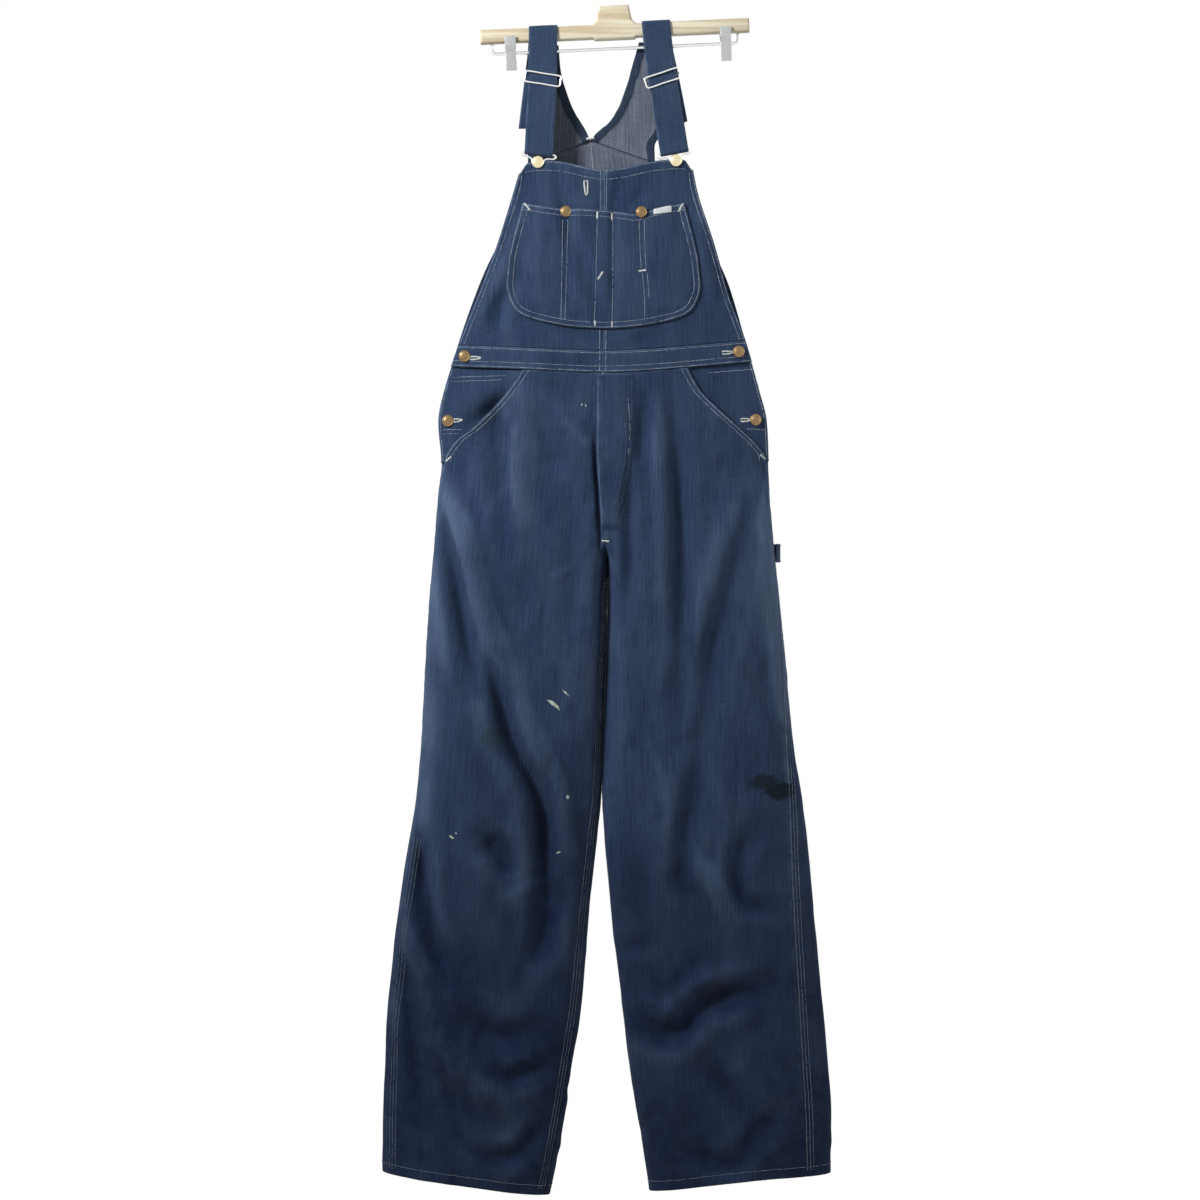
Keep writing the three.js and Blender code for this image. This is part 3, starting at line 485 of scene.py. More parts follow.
def grid_faces(rows, columns, start=0, turned=False):
    """Quads over a grid of points stored row by row."""
    place = start + np.arange(rows * columns).reshape(rows, columns)
    corners = [place[:-1, :-1], place[:-1, 1:], place[1:, 1:], place[1:, :-1]]
    if turned:
        corners.reverse()
    return np.stack([c.ravel() for c in corners], axis=1)


def bands(rows, around, closed=False):
    """Quads between rings of points stored one after another. A closed run joins its ends."""
    place = np.arange(rows * around).reshape(rows, around)
    if closed:
        place = np.vstack([place, place[:1]])
    beside = np.roll(place, -1, 1)
    return np.stack([c.ravel() for c in (place[:-1], beside[:-1], beside[1:], place[1:])], axis=1)


def rim_of(rows, columns):
    """Where a grid's edge points are, in order round it."""
    place = np.arange(rows * columns).reshape(rows, columns)
    return np.concatenate([place[0], place[1:, -1], place[-1, -2::-1], place[-2:0:-1, 0]])


def tube(line, radius, sides=10, closed=False):
    """Points and faces of a round tube along a line of points. An open one has shallow domed ends."""
    if closed:
        line = line[:-1]
        tangent = unit(np.roll(line, -1, 0) - np.roll(line, 1, 0))
    else:
        tangent = unit(np.gradient(line, axis=0))
    count = len(line)
    side = np.zeros_like(line)
    first = np.array([0, 1, 0]) if abs(tangent[0][1]) < 0.9 else np.array([1, 0, 0])
    side[0] = unit(first - tangent[0] * (first @ tangent[0]))
    for i in range(1, count):
        side[i] = unit(side[i - 1] - tangent[i] * (side[i - 1] @ tangent[i]))
    other = np.cross(tangent, side)
    angles = np.linspace(0, 2 * np.pi, sides, endpoint=False)[None, :, None]
    ring = np.cos(angles) * side[:, None] + np.sin(angles) * other[:, None]
    points = (line[:, None] + ring * radius).reshape(-1, 3)
    faces = bands(count, sides, closed).tolist()
    if not closed:
        tip, last = len(points), len(points) - sides
        tips = [line[0] - tangent[0] * radius * 0.5, line[-1] + tangent[-1] * radius * 0.5]
        points = np.vstack([points, *tips])
        for k in range(sides):
            n = (k + 1) % sides
            faces += [[n, k, tip], [last + k, last + n, tip + 1]]
    return points, faces


def lathe(outline, sides=32):
    """Points and faces of a turned form about -Y: outline is (radius, height), from foot to crown."""
    angles = np.linspace(0, 2 * np.pi, sides, endpoint=False)
    radius, height = np.array(outline, float).T[:, :, None]
    points = np.stack([radius * np.cos(angles), -height + 0 * angles, radius * np.sin(angles)], axis=-1)
    ends = [list(range(sides))[::-1], list(range(len(outline) * sides - sides, len(outline) * sides))]
    return points.reshape(-1, 3), bands(len(outline), sides).tolist() + ends


def together(parts):
    """Several (points, faces) as one."""
    points, faces, start = [], [], 0
    for some_points, some_faces in parts:
        points.append(some_points)
        faces += [[start + int(k) for k in face] for face in some_faces]
        start += len(some_points)
    return np.vstack(points), faces


# ---------------------------------------------------------------- materials
class Paint:
    """One material's nodes round its shader. A node may be given a number, a colour or a socket."""

    def __init__(self, name, colour, roughness, metallic=0.0, sheen=0.0, specular=0.5):
        self.material = bpy.data.materials.new(name)
        self.material.use_nodes = True
        self.tree = self.material.node_tree
        self.shader = self.tree.nodes["Principled BSDF"]
        self.give(self.shader, "Base Color", (*colour, 1))
        self.give(self.shader, "Roughness", roughness)
        self.give(self.shader, "Metallic", metallic)
        self.give(self.shader, "Sheen Weight", sheen)
        self.give(self.shader, "Specular IOR Level", specular)

    def give(self, made, key, value):
        if isinstance(value, bpy.types.NodeSocket):
            self.tree.links.new(value, made.inputs[key])
        else:
            made.inputs[key].default_value = value

    def node(self, kind, inputs=None, output=0, **settings):
        """The named output of a new node."""
        made = self.tree.nodes.new("ShaderNode" + kind)
        for key, value in settings.items():
            setattr(made, key, value)
        for key, value in (inputs or {}).items():
            self.give(made, key, value)
        return made.outputs[output]

    def place(self):
        return self.node("TexCoord", output="Object")

    def cloth(self):
        return self.node("UVMap", uv_map="cloth")

    def attribute(self, name):
        return self.node("Attribute", output="Fac", attribute_name=name)

    def plus(self, a, b):
        return self.node("Math", {0: a, 1: b}, operation="ADD")

    def times(self, a, b):
        return self.node("Math", {0: a, 1: b}, operation="MULTIPLY")

    def larger(self, a, b):
        return self.node("Math", {0: a, 1: b}, operation="MAXIMUM")

    def mix(self, factor, a, b):
        a, b = (c if isinstance(c, bpy.types.NodeSocket) else (*c, 1) for c in (a, b))
        return self.node("Mix", {0: factor, 6: a, 7: b}, output=2, data_type="RGBA")

    def ranged(self, value, low, high, to_low=0.0, to_high=1.0):
        """A value from low to high, eased to another range."""
        inputs = {"Value": value, "From Min": low, "From Max": high, "To Min": to_low, "To Max": to_high}
        return self.node("MapRange", inputs, interpolation_type="SMOOTHSTEP")

    def noise(self, vector, scale, detail=2, roughness=0.5, stretch=(1, 1, 1)):
        """A noise texture over a vector that is stretched first."""
        stretched = self.node("Mapping", {"Vector": vector, "Scale": stretch})
        inputs = {"Vector": stretched, "Scale": scale, "Detail": detail, "Roughness": roughness}
        return self.node("TexNoise", inputs, output="Fac")

    def coloured(self, colour):
        self.give(self.shader, "Base Color", colour)

    def bumped(self, height, distance, strength):
        bump = self.node("Bump", {"Height": height, "Distance": distance, "Strength": strength})
        self.give(self.shader, "Normal", bump)

    def blot(self, place, centre, half, ragged):
        """1 inside a ragged blot of that half size on the garment, and 0 away from it."""
        moved = self.node("VectorMath", {0: place, 1: centre}, operation="SUBTRACT")
        sized = self.node("VectorMath", {0: moved, 1: [1 / h for h in half]}, operation="MULTIPLY")
        far = self.node("VectorMath", {0: sized}, output="Value", operation="LENGTH")
        rough = self.plus(self.noise(place, 110, detail=5, roughness=0.7), -0.5)
        return self.ranged(self.plus(far, self.times(rough, ragged)), 1.15, 0.8)


# Each shade of cloth from its dark to its light yarns.
FACE = (0.014, 0.028, 0.070), (0.036, 0.067, 0.145)
STRAP = (0.023, 0.045, 0.096), (0.044, 0.078, 0.148)
WRONG_SIDE = (0.090, 0.105, 0.150), (0.235, 0.265, 0.330)
TURNED = (0.018, 0.032, 0.062), (0.050, 0.078, 0.125)
ABRADED = (0.105, 0.160, 0.265)
# The dark mixed in by the darkening attribute: grime, and painted shade in crease troughs and towards the
# hems.
GRIME_AND_SHADE = (0.0042, 0.0120, 0.0400)
# The tone the thread darkens to towards the hems.
THREAD_DARKER_DOWN = (0.06, 0.08, 0.11)
OIL = (0.006, 0.013, 0.016)
SMUDGE = (0.020, 0.045, 0.040)
TWILL_LEAN = math.radians(-62)


def denim_material(name, shades, stained=False, wrong_side=False):
    """Worn twill: slubby warp streaks, a diagonal rib, wear on the crests with a painted rim highlight, and
    grime and painted shade by attribute.
    """
    dark, light = shades
    m = Paint(name, light, 0.93, sheen=0.03, specular=0.1)
    cloth = m.cloth()
    warp = m.noise(cloth, 1, detail=2, stretch=(1150, 26, 1))
    slub = m.noise(cloth, 1, detail=3, stretch=(430, 7, 1))
    weft = m.noise(cloth, 1, detail=1, stretch=(60, 1000, 1))
    fade = m.noise(cloth, 1, detail=3, stretch=(26, 9, 1))
    blotch = m.noise(cloth, 55, detail=4, roughness=0.6)
    streaks = m.plus(m.times(warp, 0.66), m.times(slub, 0.34))
    streaks = m.plus(streaks, m.times(m.plus(weft, -0.5), 0.3))
    yarn = m.ranged(streaks, 0.3, 0.7)
    faded = m.times(m.ranged(m.plus(fade, m.times(blotch, 0.4)), 0.5, 0.95), 0.2)
    colour = m.mix(faded, m.mix(yarn, dark, light), light if wrong_side else ABRADED)
    if wrong_side:
        folded = m.ranged(m.attribute("turned"), 0.35, 0.65)
        colour = m.mix(folded, colour, m.mix(yarn, *TURNED))
    else:
        # Wear, with a painted rim highlight along the legs' outer edges.
        worn_and_lit = m.ranged(m.attribute("wear"), 0.1, 1)
        colour = m.mix(m.times(worn_and_lit, m.ranged(warp, 0.3, 0.7, 0.45, 1)), colour, ABRADED)
    uneven = m.ranged(blotch, 0.3, 0.7, 0.75, 1)
    # Grime patches, and painted shade: darker in crease troughs and towards the hems.
    colour = m.mix(m.times(m.attribute("grime_and_shade"), uneven), colour, GRIME_AND_SHADE)
    if stained:
        place = m.place()
        oil = m.blot(place, (0.214, -0.03, -1.080), (0.020, 0.045, 0.0125), 1.7)
        smear = m.blot(place, (0.198, -0.03, -1.069), (0.022, 0.045, 0.0095), 1.9)
        smudge = m.blot(place, (-0.155, -0.03, -1.010), (0.016, 0.045, 0.012), 1.6)
        colour = m.mix(m.times(m.larger(oil, m.times(smear, 0.8)), 0.93), colour, OIL)
        colour = m.mix(m.times(smudge, 0.5), colour, SMUDGE)
    m.coloured(colour)
    rib = m.node("Mapping", {"Vector": cloth, "Rotation": (0, 0, TWILL_LEAN)})
    twill = m.node("TexWave", {"Vector": rib, "Scale": 285, "Distortion": 1.2, "Detail": 1}, output="Fac")
    m.bumped(m.plus(twill, m.times(streaks, 2.2)), 0.00022, 0.8)
    return m.material


def mottled(m, scale, detail, dark, light):
    """Gives a material two shades in patches. Returns their pattern and the colour."""
    patches = m.noise(m.place(), scale, detail)
    colour = m.mix(m.ranged(patches, 0.35, 0.65), dark, light)
    m.coloured(colour)
    return patches, colour


def thread_material(name, dull, clean):
    """Cotton thread, greyer down the legs."""
    m = Paint(name, clean, 0.85)
    _, colour = mottled(m, 90, 3, dull, clean)
    low = m.ranged(m.node("SeparateXYZ", {0: m.place()}, output="Z"), -0.7, -1.25)
    # Darker towards the hems.
    m.coloured(m.mix(m.times(low, 0.62), colour, THREAD_DARKER_DOWN))
    return m.material


def tack_material():
    m = Paint("bartack_thread", (0.80, 0.82, 0.80), 0.8)
    mottled(m, 300, 2, (0.60, 0.62, 0.60), (0.86, 0.88, 0.85))
    return m.material


def metal_material(name, bright, dull, roughness, patina):
    m = Paint(name, bright, roughness, metallic=1)
    spots = m.noise(m.place(), 420, detail=4, roughness=0.65)
    share = m.ranged(spots, 0.62 - patina, 0.72)
    m.coloured(m.mix(share, bright, dull))
    m.give(m.shader, "Roughness", m.plus(m.times(share, 0.22), roughness - 0.04))
    m.bumped(m.noise(m.place(), 2400, detail=2), 0.00003, 0.5)
    return m.material


def wood_material():
    m = Paint("beech", (0.60, 0.46, 0.28), 0.5)
    grain = m.noise(m.place(), 9, detail=5, roughness=0.6, stretch=(0.6, 14, 14))
    fleck = m.noise(m.place(), 60, detail=2, stretch=(1, 8, 8))
    colour = m.mix(m.ranged(grain, 0.35, 0.66), (0.65, 0.54, 0.35), (0.91, 0.84, 0.63))
    m.coloured(m.mix(m.ranged(fleck, 0.58, 0.7, 0, 0.3), colour, (0.52, 0.40, 0.24)))
    m.bumped(grain, 0.0002, 0.5)
    return m.material


def label_material():
    m = Paint("white_tape", (0.78, 0.80, 0.82), 0.85)
    soil = m.noise(m.cloth(), 160, detail=3)
    m.coloured(m.mix(m.ranged(soil, 0.4, 0.7, 0, 0.5), (0.80, 0.83, 0.86), (0.52, 0.57, 0.62)))
    m.bumped(m.noise(m.cloth(), 1, detail=1, stretch=(250, 2200, 1)), 0.0002, 0.8)
    return m.material


def paint_material():
    m = Paint("dried_paint", (0.50, 0.56, 0.46), 0.6)
    patches, _ = mottled(m, 500, 3, (0.30, 0.36, 0.31), (0.60, 0.66, 0.54))
    m.bumped(patches, 0.0002, 0.6)
    return m.material


face = denim_material("denim_face", FACE, stained=True)
strap_face = denim_material("denim_strap", STRAP)
wrong = denim_material("denim_wrong_side", WRONG_SIDE, wrong_side=True)
thread = thread_material("cotton_thread", (0.20, 0.25, 0.32), (0.46, 0.52, 0.58))
dark_thread = thread_material("dark_thread", (0.03, 0.05, 0.10), (0.09, 0.12, 0.18))
tack_thread = tack_material()
brass = metal_material("aged_brass", (0.27, 0.18, 0.09), (0.10, 0.065, 0.04), 0.42, 0.14)
pale_brass = metal_material("pale_brass", (0.80, 0.70, 0.46), (0.55, 0.46, 0.28), 0.32, 0.02)
steel = metal_material("plated_wire", (0.86, 0.86, 0.83), (0.55, 0.52, 0.46), 0.30, 0.02)
hanger_steel = metal_material("chromed_steel", (0.78, 0.79, 0.80), (0.50, 0.50, 0.50), 0.22, 0)
clip_steel = metal_material("clip_steel", (0.50, 0.51, 0.52), (0.28, 0.28, 0.28), 0.34, 0.06)
beech = wood_material()
tape = label_material()
paint = paint_material()

# ---------------------------------------------------------------- cloth panels


def graded(length, margin=16):
    """Places from 0 to 1 along a length, closer together near its ends."""
    fine = np.linspace(0, length, 2000)
    edge = np.minimum(fine, length - fine)
    pitch = lerp(FINE, COARSE, ease(edge, margin * 0.4, margin * 1.6))
    count = np.r_[0, np.cumsum(np.diff(fine) / pitch[1:])]
    wanted = np.linspace(0, count[-1], max(3, round(count[-1]) + 1))
    return np.interp(wanted, count, fine / length)


LONG_PANEL = 200  # rows: a longer panel's warp may lean, and a shorter one's is upright
# Where the darkening towards the hems starts and is full: partly grime, partly painted shade of the light
# falling off downwards.
GRIME_AND_SHADE_STARTS, GRIME_AND_SHADE_FULL = -860, -1500
SIDES_RUBBED_AND_LIT, SIDES_FADE = (-620, -690), (-960, -1090)  # where the abrasion of the outseams, with a painted rim highlight, starts and ends
ROLLED_AND_LIT_EDGES = ((RIGHT, -1000, -1090), (LEFT, -740, -930))  # side, top and foot of each rubbed outer strip, brightened with a painted rim highlight


class Panel:
    """A sheet of cloth over a grid: its two faces, and how far each point is from its edges.

    point gives the smooth form for shares across and down. width and height set how fine the grid is.
    shape gives how far the cloth is pushed off that form, and drawn names the edges its seams pucker.
    """

    def __init__(self, name, point, width, height, facing, shape, drawn=("left", "right")):
        self.name, self.facing, self.tree = name, facing, None
        self.u, self.v = graded(width), graded(height)
        across, down = np.meshgrid(self.u, self.v)
        self.base = point(across, down)
        self.normal = self.facing_of(self.base, facing)
        self.measure(self.base)
        self.flat_area = self.area_of(self.base)
        self.warp = self.grain()
        self.push = shape(self) + self.puckers(drawn)
        self.outer = self.base + self.normal * self.push[..., None]
        self.normal = self.facing_of(self.outer, facing)
        self.measure(self.outer)
        self.inner = self.outer - self.normal * DENIM

    @staticmethod
    def facing_of(points, facing):
        across, down = np.gradient(points, axis=1), np.gradient(points, axis=0)
        return unit(np.cross(across, down)) * facing

    @staticmethod
    def area_of(points):
        across, down = np.diff(points, axis=1)[:-1], np.diff(points, axis=0)[:, :-1]
        return float(np.linalg.norm(np.cross(across, down), axis=-1).sum())

    def measure(self, points):
        steps = np.linalg.norm(np.diff(points, axis=1), axis=-1)
        self.from_left = np.pad(np.cumsum(steps, axis=1), ((0, 0), (1, 0)))
        self.from_right = self.from_left[:, -1:] - self.from_left
        steps = np.linalg.norm(np.diff(points, axis=0), axis=-1)
        self.from_top = np.pad(np.cumsum(steps, axis=0), ((1, 0), (0, 0)))
        self.from_foot = self.from_top[-1:] - self.from_top

    def puckers(self, drawn):
        """Small puckers where seams draw the cloth in, as a push and as a pattern of wear."""
        x, z = self.base[..., 0], self.base[..., 2]
        self.drawn = np.zeros_like(x)
        total = np.zeros_like(x)
        for name in drawn:
            away = getattr(self, "from_" + name)
            run = z if name in ("left", "right") else x
            wave = noise(run / 4.6, away / 12, 21) * 0.7 + noise(run / 9.5, away / 20, 22) * 0.5
            total += 0.42 * np.exp(-away / 7) * wave
            self.drawn += np.exp(-away / 8) * (0.5 + 0.7 * wave)
        return total

    def wear(self):
        """How abraded each point is: crests, puckers and the rims, with a painted rim highlight along the
        legs' outer edges.
        """
        rim = np.min([self.from_left, self.from_right, self.from_top, self.from_foot], axis=0)
        crest = np.clip(self.push / 6, -0.3, 0.5)
        x, z = self.base[..., 0], self.base[..., 2]
        rubbed_and_lit = 0.10 * noise(x / 28, z / 120, 33) + 0.07 * noise(x / 11, z / 40, 34)
        # Along the legs' outer edges: outseam wear with a painted rim highlight, brightest in a strip
        # inside the rolled edges.
        outer = np.minimum(np.abs(x - FRONT_EDGE[RIGHT](z)), np.abs(x - FRONT_EDGE[LEFT](z)))
        rubbed_and_lit += 0.42 * np.exp(-outer / 36) * (ease(z, *SIDES_RUBBED_AND_LIT) - ease(z, *SIDES_FADE))
        for side, top, foot in ROLLED_AND_LIT_EDGES:
            rolled = np.abs(x - FRONT_EDGE[side](z))
            rubbed_and_lit += 0.55 * bell(rolled - 13, 12) * (ease(z, top + 70, top) - ease(z, foot, foot - 120))
        return np.clip(0.10 + rubbed_and_lit + 0.45 * self.drawn + crest * 0.7 + 0.4 * bell(rim, 2.2), 0, 1)

    def grime_and_shade(self):
        x, z = self.base[..., 0], self.base[..., 2]
        patches = noise(x / 70, z / 110, 31) * 0.22 + noise(x / 26, z / 34, 32) * 0.12
        # Painted shade: darker in the troughs of the creases.
        crease_shade = np.clip(-self.push / 7, 0, 1) * 0.45
        # Darker towards the hems: partly grime, partly painted shade of the light falling off downwards.
        low = 0.86 * ease(z, GRIME_AND_SHADE_STARTS, GRIME_AND_SHADE_FULL)
        return np.clip(low + patches * (0.4 + low) + crease_shade * (0.5 + low), 0, 0.93)

    def share(self, across):
        """A line down the panel at a share of its width: points with normals."""
        rows = np.concatenate([self.outer, self.normal], axis=2)
        return np.array([[np.interp(across, self.u, row[:, k]) for k in range(6)] for row in rows])

    def line(self, edge, distance, span=(0, 1), inside=False):
        """A line that keeps a distance from an edge over a span of it: points with normals."""
        away, shares = getattr(self, "from_" + edge), self.v
        parts = [self.inner, -self.normal] if inside else [self.outer, self.normal]
        rows = np.concatenate(parts, axis=2)
        if edge in ("top", "foot"):
            away, shares, rows = away.T, self.u, rows.transpose(1, 0, 2)
        if edge in ("right", "foot"):
            away, rows = away[:, ::-1], rows[:, ::-1]
        within = (shares >= span[0]) & (shares <= span[1])
        return np.array([
            [np.interp(distance, keys, row[:, k]) for k in range(6)]
            for keys, row in zip(away[within], rows[within])
        ])

    def grain(self):
        """Lengths across and along the warp, which runs straight down the middle of the panel."""
        middle = len(self.u) // 2
        x, z = self.base[:, middle, 0], self.base[:, middle, 2]
        straight = np.polyval(np.polyfit(z, x, 1 if len(self.v) > LONG_PANEL else 0), z)
        way = np.sign(self.base[0, -1, 0] - self.base[0, 0, 0])
        off_middle = self.from_left - self.from_left[:, middle : middle + 1]
        across = (x - straight)[:, None] + way * off_middle
        along = np.repeat(-self.from_top[:, middle : middle + 1], len(self.u), 1)
        return np.stack([across, along], axis=-1)

    def build(self, turned=None, hem=None):
        """The closed shell, with its rim rounded.

        turned marks where the inside shows cloth folded over, and hem adds that fold's thickness behind.
        """
        rows, columns = self.outer.shape[:2]
        count = rows * columns
        inner = self.inner
        if hem is not None:
            inner = inner - self.normal * (hem * DENIM * 0.85)[..., None]
        outer, inner = self.outer.reshape(-1, 3), inner.reshape(-1, 3)
        ring = rim_of(rows, columns)
        after = np.roll(ring, -1)
        along = outer[after] - outer[np.roll(ring, 1)]
        out = unit(np.cross(along, self.normal.reshape(-1, 3)[ring])) * -self.facing
        thick = np.linalg.norm(outer[ring] - inner[ring], axis=1, keepdims=True)
        middle = (outer[ring] + inner[ring]) / 2 + out * thick * 0.3
        mid = 2 * count + np.arange(len(ring))
        mid_after = np.roll(mid, -1)
        rims = np.vstack([
            np.stack([after, ring, mid, mid_after], axis=1),
            np.stack([mid_after, mid, ring + count, after + count], axis=1),
        ])
        # A grid's quads face along its base cross product, which is the panel's facing when that is 1.
        flip = self.facing > 0
        outside = grid_faces(rows, columns, turned=flip)
        inside = grid_faces(rows, columns, count, turned=not flip)
        faces = np.vstack([outside, inside, rims[:, ::-1] if flip else rims])
        kinds = np.repeat([0, 1, 0], [len(outside), len(inside), len(rims)])
        turned = np.zeros(count) if turned is None else turned.ravel()
        grain = self.warp.reshape(-1, 2)
        wear, grime_and_shade = self.wear().ravel(), self.grime_and_shade().ravel()
        values = {
            "wear": np.concatenate([wear, wear * 0.3, np.maximum(wear[ring], 0.55)]),
            "grime_and_shade": np.concatenate([grime_and_shade, grime_and_shade, grime_and_shade[ring]]),
            "turned": np.concatenate([turned, turned, turned[ring]]),
        }
        points, uv = np.vstack([outer, inner, middle]), np.vstack([grain, grain, grain[ring]])
        name = self.name + "_cloth"
        piece = add_mesh(name, points, faces, [face, wrong], "denim", [self.name], uv, values, kinds)


def plain(front=True, ends=True):
    """The cloth's relief, faded out near a panel's sides so that neighbours meet."""

    def shape(panel):
        x, z = panel.base[..., 0], panel.base[..., 2]
        fade = ease(np.minimum(panel.from_left, panel.from_right), 0, 22) if ends else 1
        if not front:
            fade = fade * ease(panel.from_top, -4, 30)
        return fade * folds(x, z, front) + rumple(x, z) * (0.25 + 0.75 * fade)

    return shape


def mouth_share(side, level):
    middle = CENTRE_FRONT(level)
    return (MOUTH[side](level) - middle) / (FRONT_EDGE[side](level) - middle)


CLOSED_BY, OPEN_AGAIN = (-640, -656), (-790, -830)


def closing(z, away):
    """How far a leg's outseam is drawn in below the pocket mouth, where its front and back meet."""
    deep = 1.0 + 1.3 * bell(z + 662, 14)
    return deep * np.exp(-away / 12) * ease(z, *CLOSED_BY) * (1 - ease(z, *OPEN_AGAIN))


def front_leg(side):
    def point(u, v):
        level = lerp(WAIST_LINE, HEM_LEVEL, v)
        start = np.where(level < CROTCH, IN_SEAM[side](level), 0)
        joined = OUT_SEAM[side](level)
        mouth = mouth_share(side, np.maximum(level, MOUTH_FOOT))
        end = lerp(mouth, joined, ease(level, MOUTH_FOOT, MOUTH_FOOT - 26))
        return surface(side, lerp(start + SEAM, end - SEAM, u), level)

    def shape(panel):
        z = panel.base[..., 2]
        pushed = plain()(panel)
        # The right pocket's mouth stands open.
        gape = (8 if side == RIGHT else 1.5) * bell(z + 592, 22) * np.exp(-panel.from_right / 20)
        if side == RIGHT:
            beside = panel.base[..., 0] - FLY_LEFT(z) + 2.2
            pushed = pushed - 6 * bell(beside, 3) * ease(z, -585, -680) * ease(z, -785, -752)
        return pushed + gape - closing(z, panel.from_right)

    return Panel("front_leg_" + SIDES[side], point, 275, 1050, -side, shape)


def back_panel(side):
    def point(u, v):
        level = lerp(BACK_TOP, HEM_LEVEL, v)
        end = 2 + np.where(level < CROTCH, IN_SEAM[side](level), 0)
        return surface(side, lerp(OUT_SEAM[side](level) + SEAM, end - SEAM, u), level)

    def shape(panel):
        return plain(front=False)(panel) - closing(panel.base[..., 2], panel.from_left)

    return Panel("back_" + SIDES[side], point, 275, 1360, -side, shape)


def side_facing(side):
    overlap, tuck = 0.09, LAYER + 1

    def point(u, v):
        level = lerp(WAIST_LINE, MOUTH_FOOT - 8, v)
        place = surface(side, lerp(mouth_share(side, level) - overlap, 1 - SEAM, u), level)
        place[..., 1] += tuck
        return place

    def shape(panel):
        z = panel.base[..., 2]
        sunk = (13 if side == RIGHT else 1.5) * bell(z + 588, 20) * bell(panel.from_left - 18, 20)
        return plain()(panel) - sunk

    return Panel("side_facing_" + SIDES[side], point, 95, 118, -side, shape)


def bib(side):
    def point(u, v):
        level = lerp(BIB_TOP, WAIST_TOP + GAP, v)
        corner = 9 * ease(u, 0.86, 1.0) ** 2 * ease(v, 0.12, 0)
        return surface(side, lerp(SEAM, 1, u), level - corner)

    def shape(panel):
        hem = 0.5 * (1 - ease(panel.from_top, 11, 14)) + 0.4 * (1 - ease(panel.from_right, 7, 9))
        return plain(ends=False)(panel) + hem

    return Panel("bib_" + SIDES[side], point, 140, 242, -side, shape, drawn=("left", "top"))


def waistband():
    def point(u, v):
        level = lerp(WAIST_TOP, WAIST_LINE + GAP, v)
        s = np.abs(2 * u - 1)
        return np.where((u < 0.5)[..., None], surface(RIGHT, s, level), surface(LEFT, s, level))

    def shape(panel):
        return plain(ends=False)(panel) * 0.8 + 0.6

    return Panel("waistband", point, 365, 29, -1, shape, drawn=("top", "foot"))


POCKET_OFF = LAYER + 0.2
POCKET_MIDDLE = -13
POCKET_HALF = profile((-431, 126), (-419, 125), (-387, 121), (-324, 104.5))
POCKET_TOP = profile(
    (-118, -320), (-75, -327), (-40, -328.5), (0, -331), (27, -335), (55, -328), (90, -320)
)
PARTITIONS = [-62, -22, -1.5, 39]


def pocket_place(u, v):
    across = 2 * u - 1
    x = POCKET_MIDDLE + across * POCKET_HALF(lerp(-324, -431, v))
    foot = -484 + 24 * across**2 + 29 * np.abs(across) ** 16
    return x, lerp(POCKET_TOP(x), foot, v)


def pocket_puff(x, z):
    """How far the pouch stands off the bib between its lines of stitching."""
    cell = np.min([np.abs(x - p) for p in (-128, *PARTITIONS, 102)], axis=0)
    mouth = 1.2 * ease(z, -350, -332) * noise(x / 30, z / 50, 41)
    return 1.9 * (1 - np.exp(-cell / 9)) * ease(z, -480, -455) + mouth


def bib_pocket():
    def point(u, v):
        return on_front(*pocket_place(u, v), POCKET_OFF)[0]

    def shape(panel):
        x, z = panel.base[..., 0], panel.base[..., 2]
        edge = np.minimum(np.minimum(panel.from_left, panel.from_right), panel.from_foot)
        return pocket_puff(x, z) * ease(edge, 3, 22) + 0.3 * bell(edge - 4, 4)

    return Panel("bib_pocket", point, 252, 158, -1, shape, drawn=("left", "right", "top", "foot"))


FLY_LEFT = profile((-750, -15), (-704, -17.5), (-650, -21), (-540, -21.5))
FLY_RIGHT = profile((-750, 6), (-704, 17), (-650, 24), (-540, 26))
FLY_OFF = LAYER + 0.5


def fly_flap():
    def point(u, v):
        z = lerp(WAIST_LINE - 4, -750, v)
        return on_front(lerp(FLY_LEFT(z), FLY_RIGHT(z), u), z, FLY_OFF)[0]

    def shape(panel):
        z = panel.base[..., 2]
        lifted = 2.4 * np.exp(-panel.from_left / 9) * ease(z, -585, -660) * ease(z, -752, -715)
        edge, foot = 1 - ease(panel.from_right, 0, 12), 1 - ease(panel.from_foot, 2, 16)
        return lifted - np.maximum(2.1 * edge, 3.2 * foot)

    return Panel("fly", point, 46, 208, -1, shape)


NECK = {
    RIGHT: [(-71.5, -112), (-68.5, -145), (-61.5, -172), (-51, -197), (-39, -217), (-30.6, -231.5)],
    LEFT: [
        (33, -108), (27, -130), (19, -158), (8, -189), (-1, -205), (-9, -214.5), (-18, -221.5),
        (-29.4, -231.5),
    ],
}
ARMHOLE = {
    RIGHT: [(-104, -112), (-107, -150), (-113, -200), (-111.5, -225), (-111.5, -261.5)],
    LEFT: [(68, -108), (72, -150), (76, -195), (63, -226), (54, -240), (54, -261.5)],
}
YOKE_DEPTH = profile((-262, 11.2), (-232, 13), (-170, 9.8), (-106, 7))


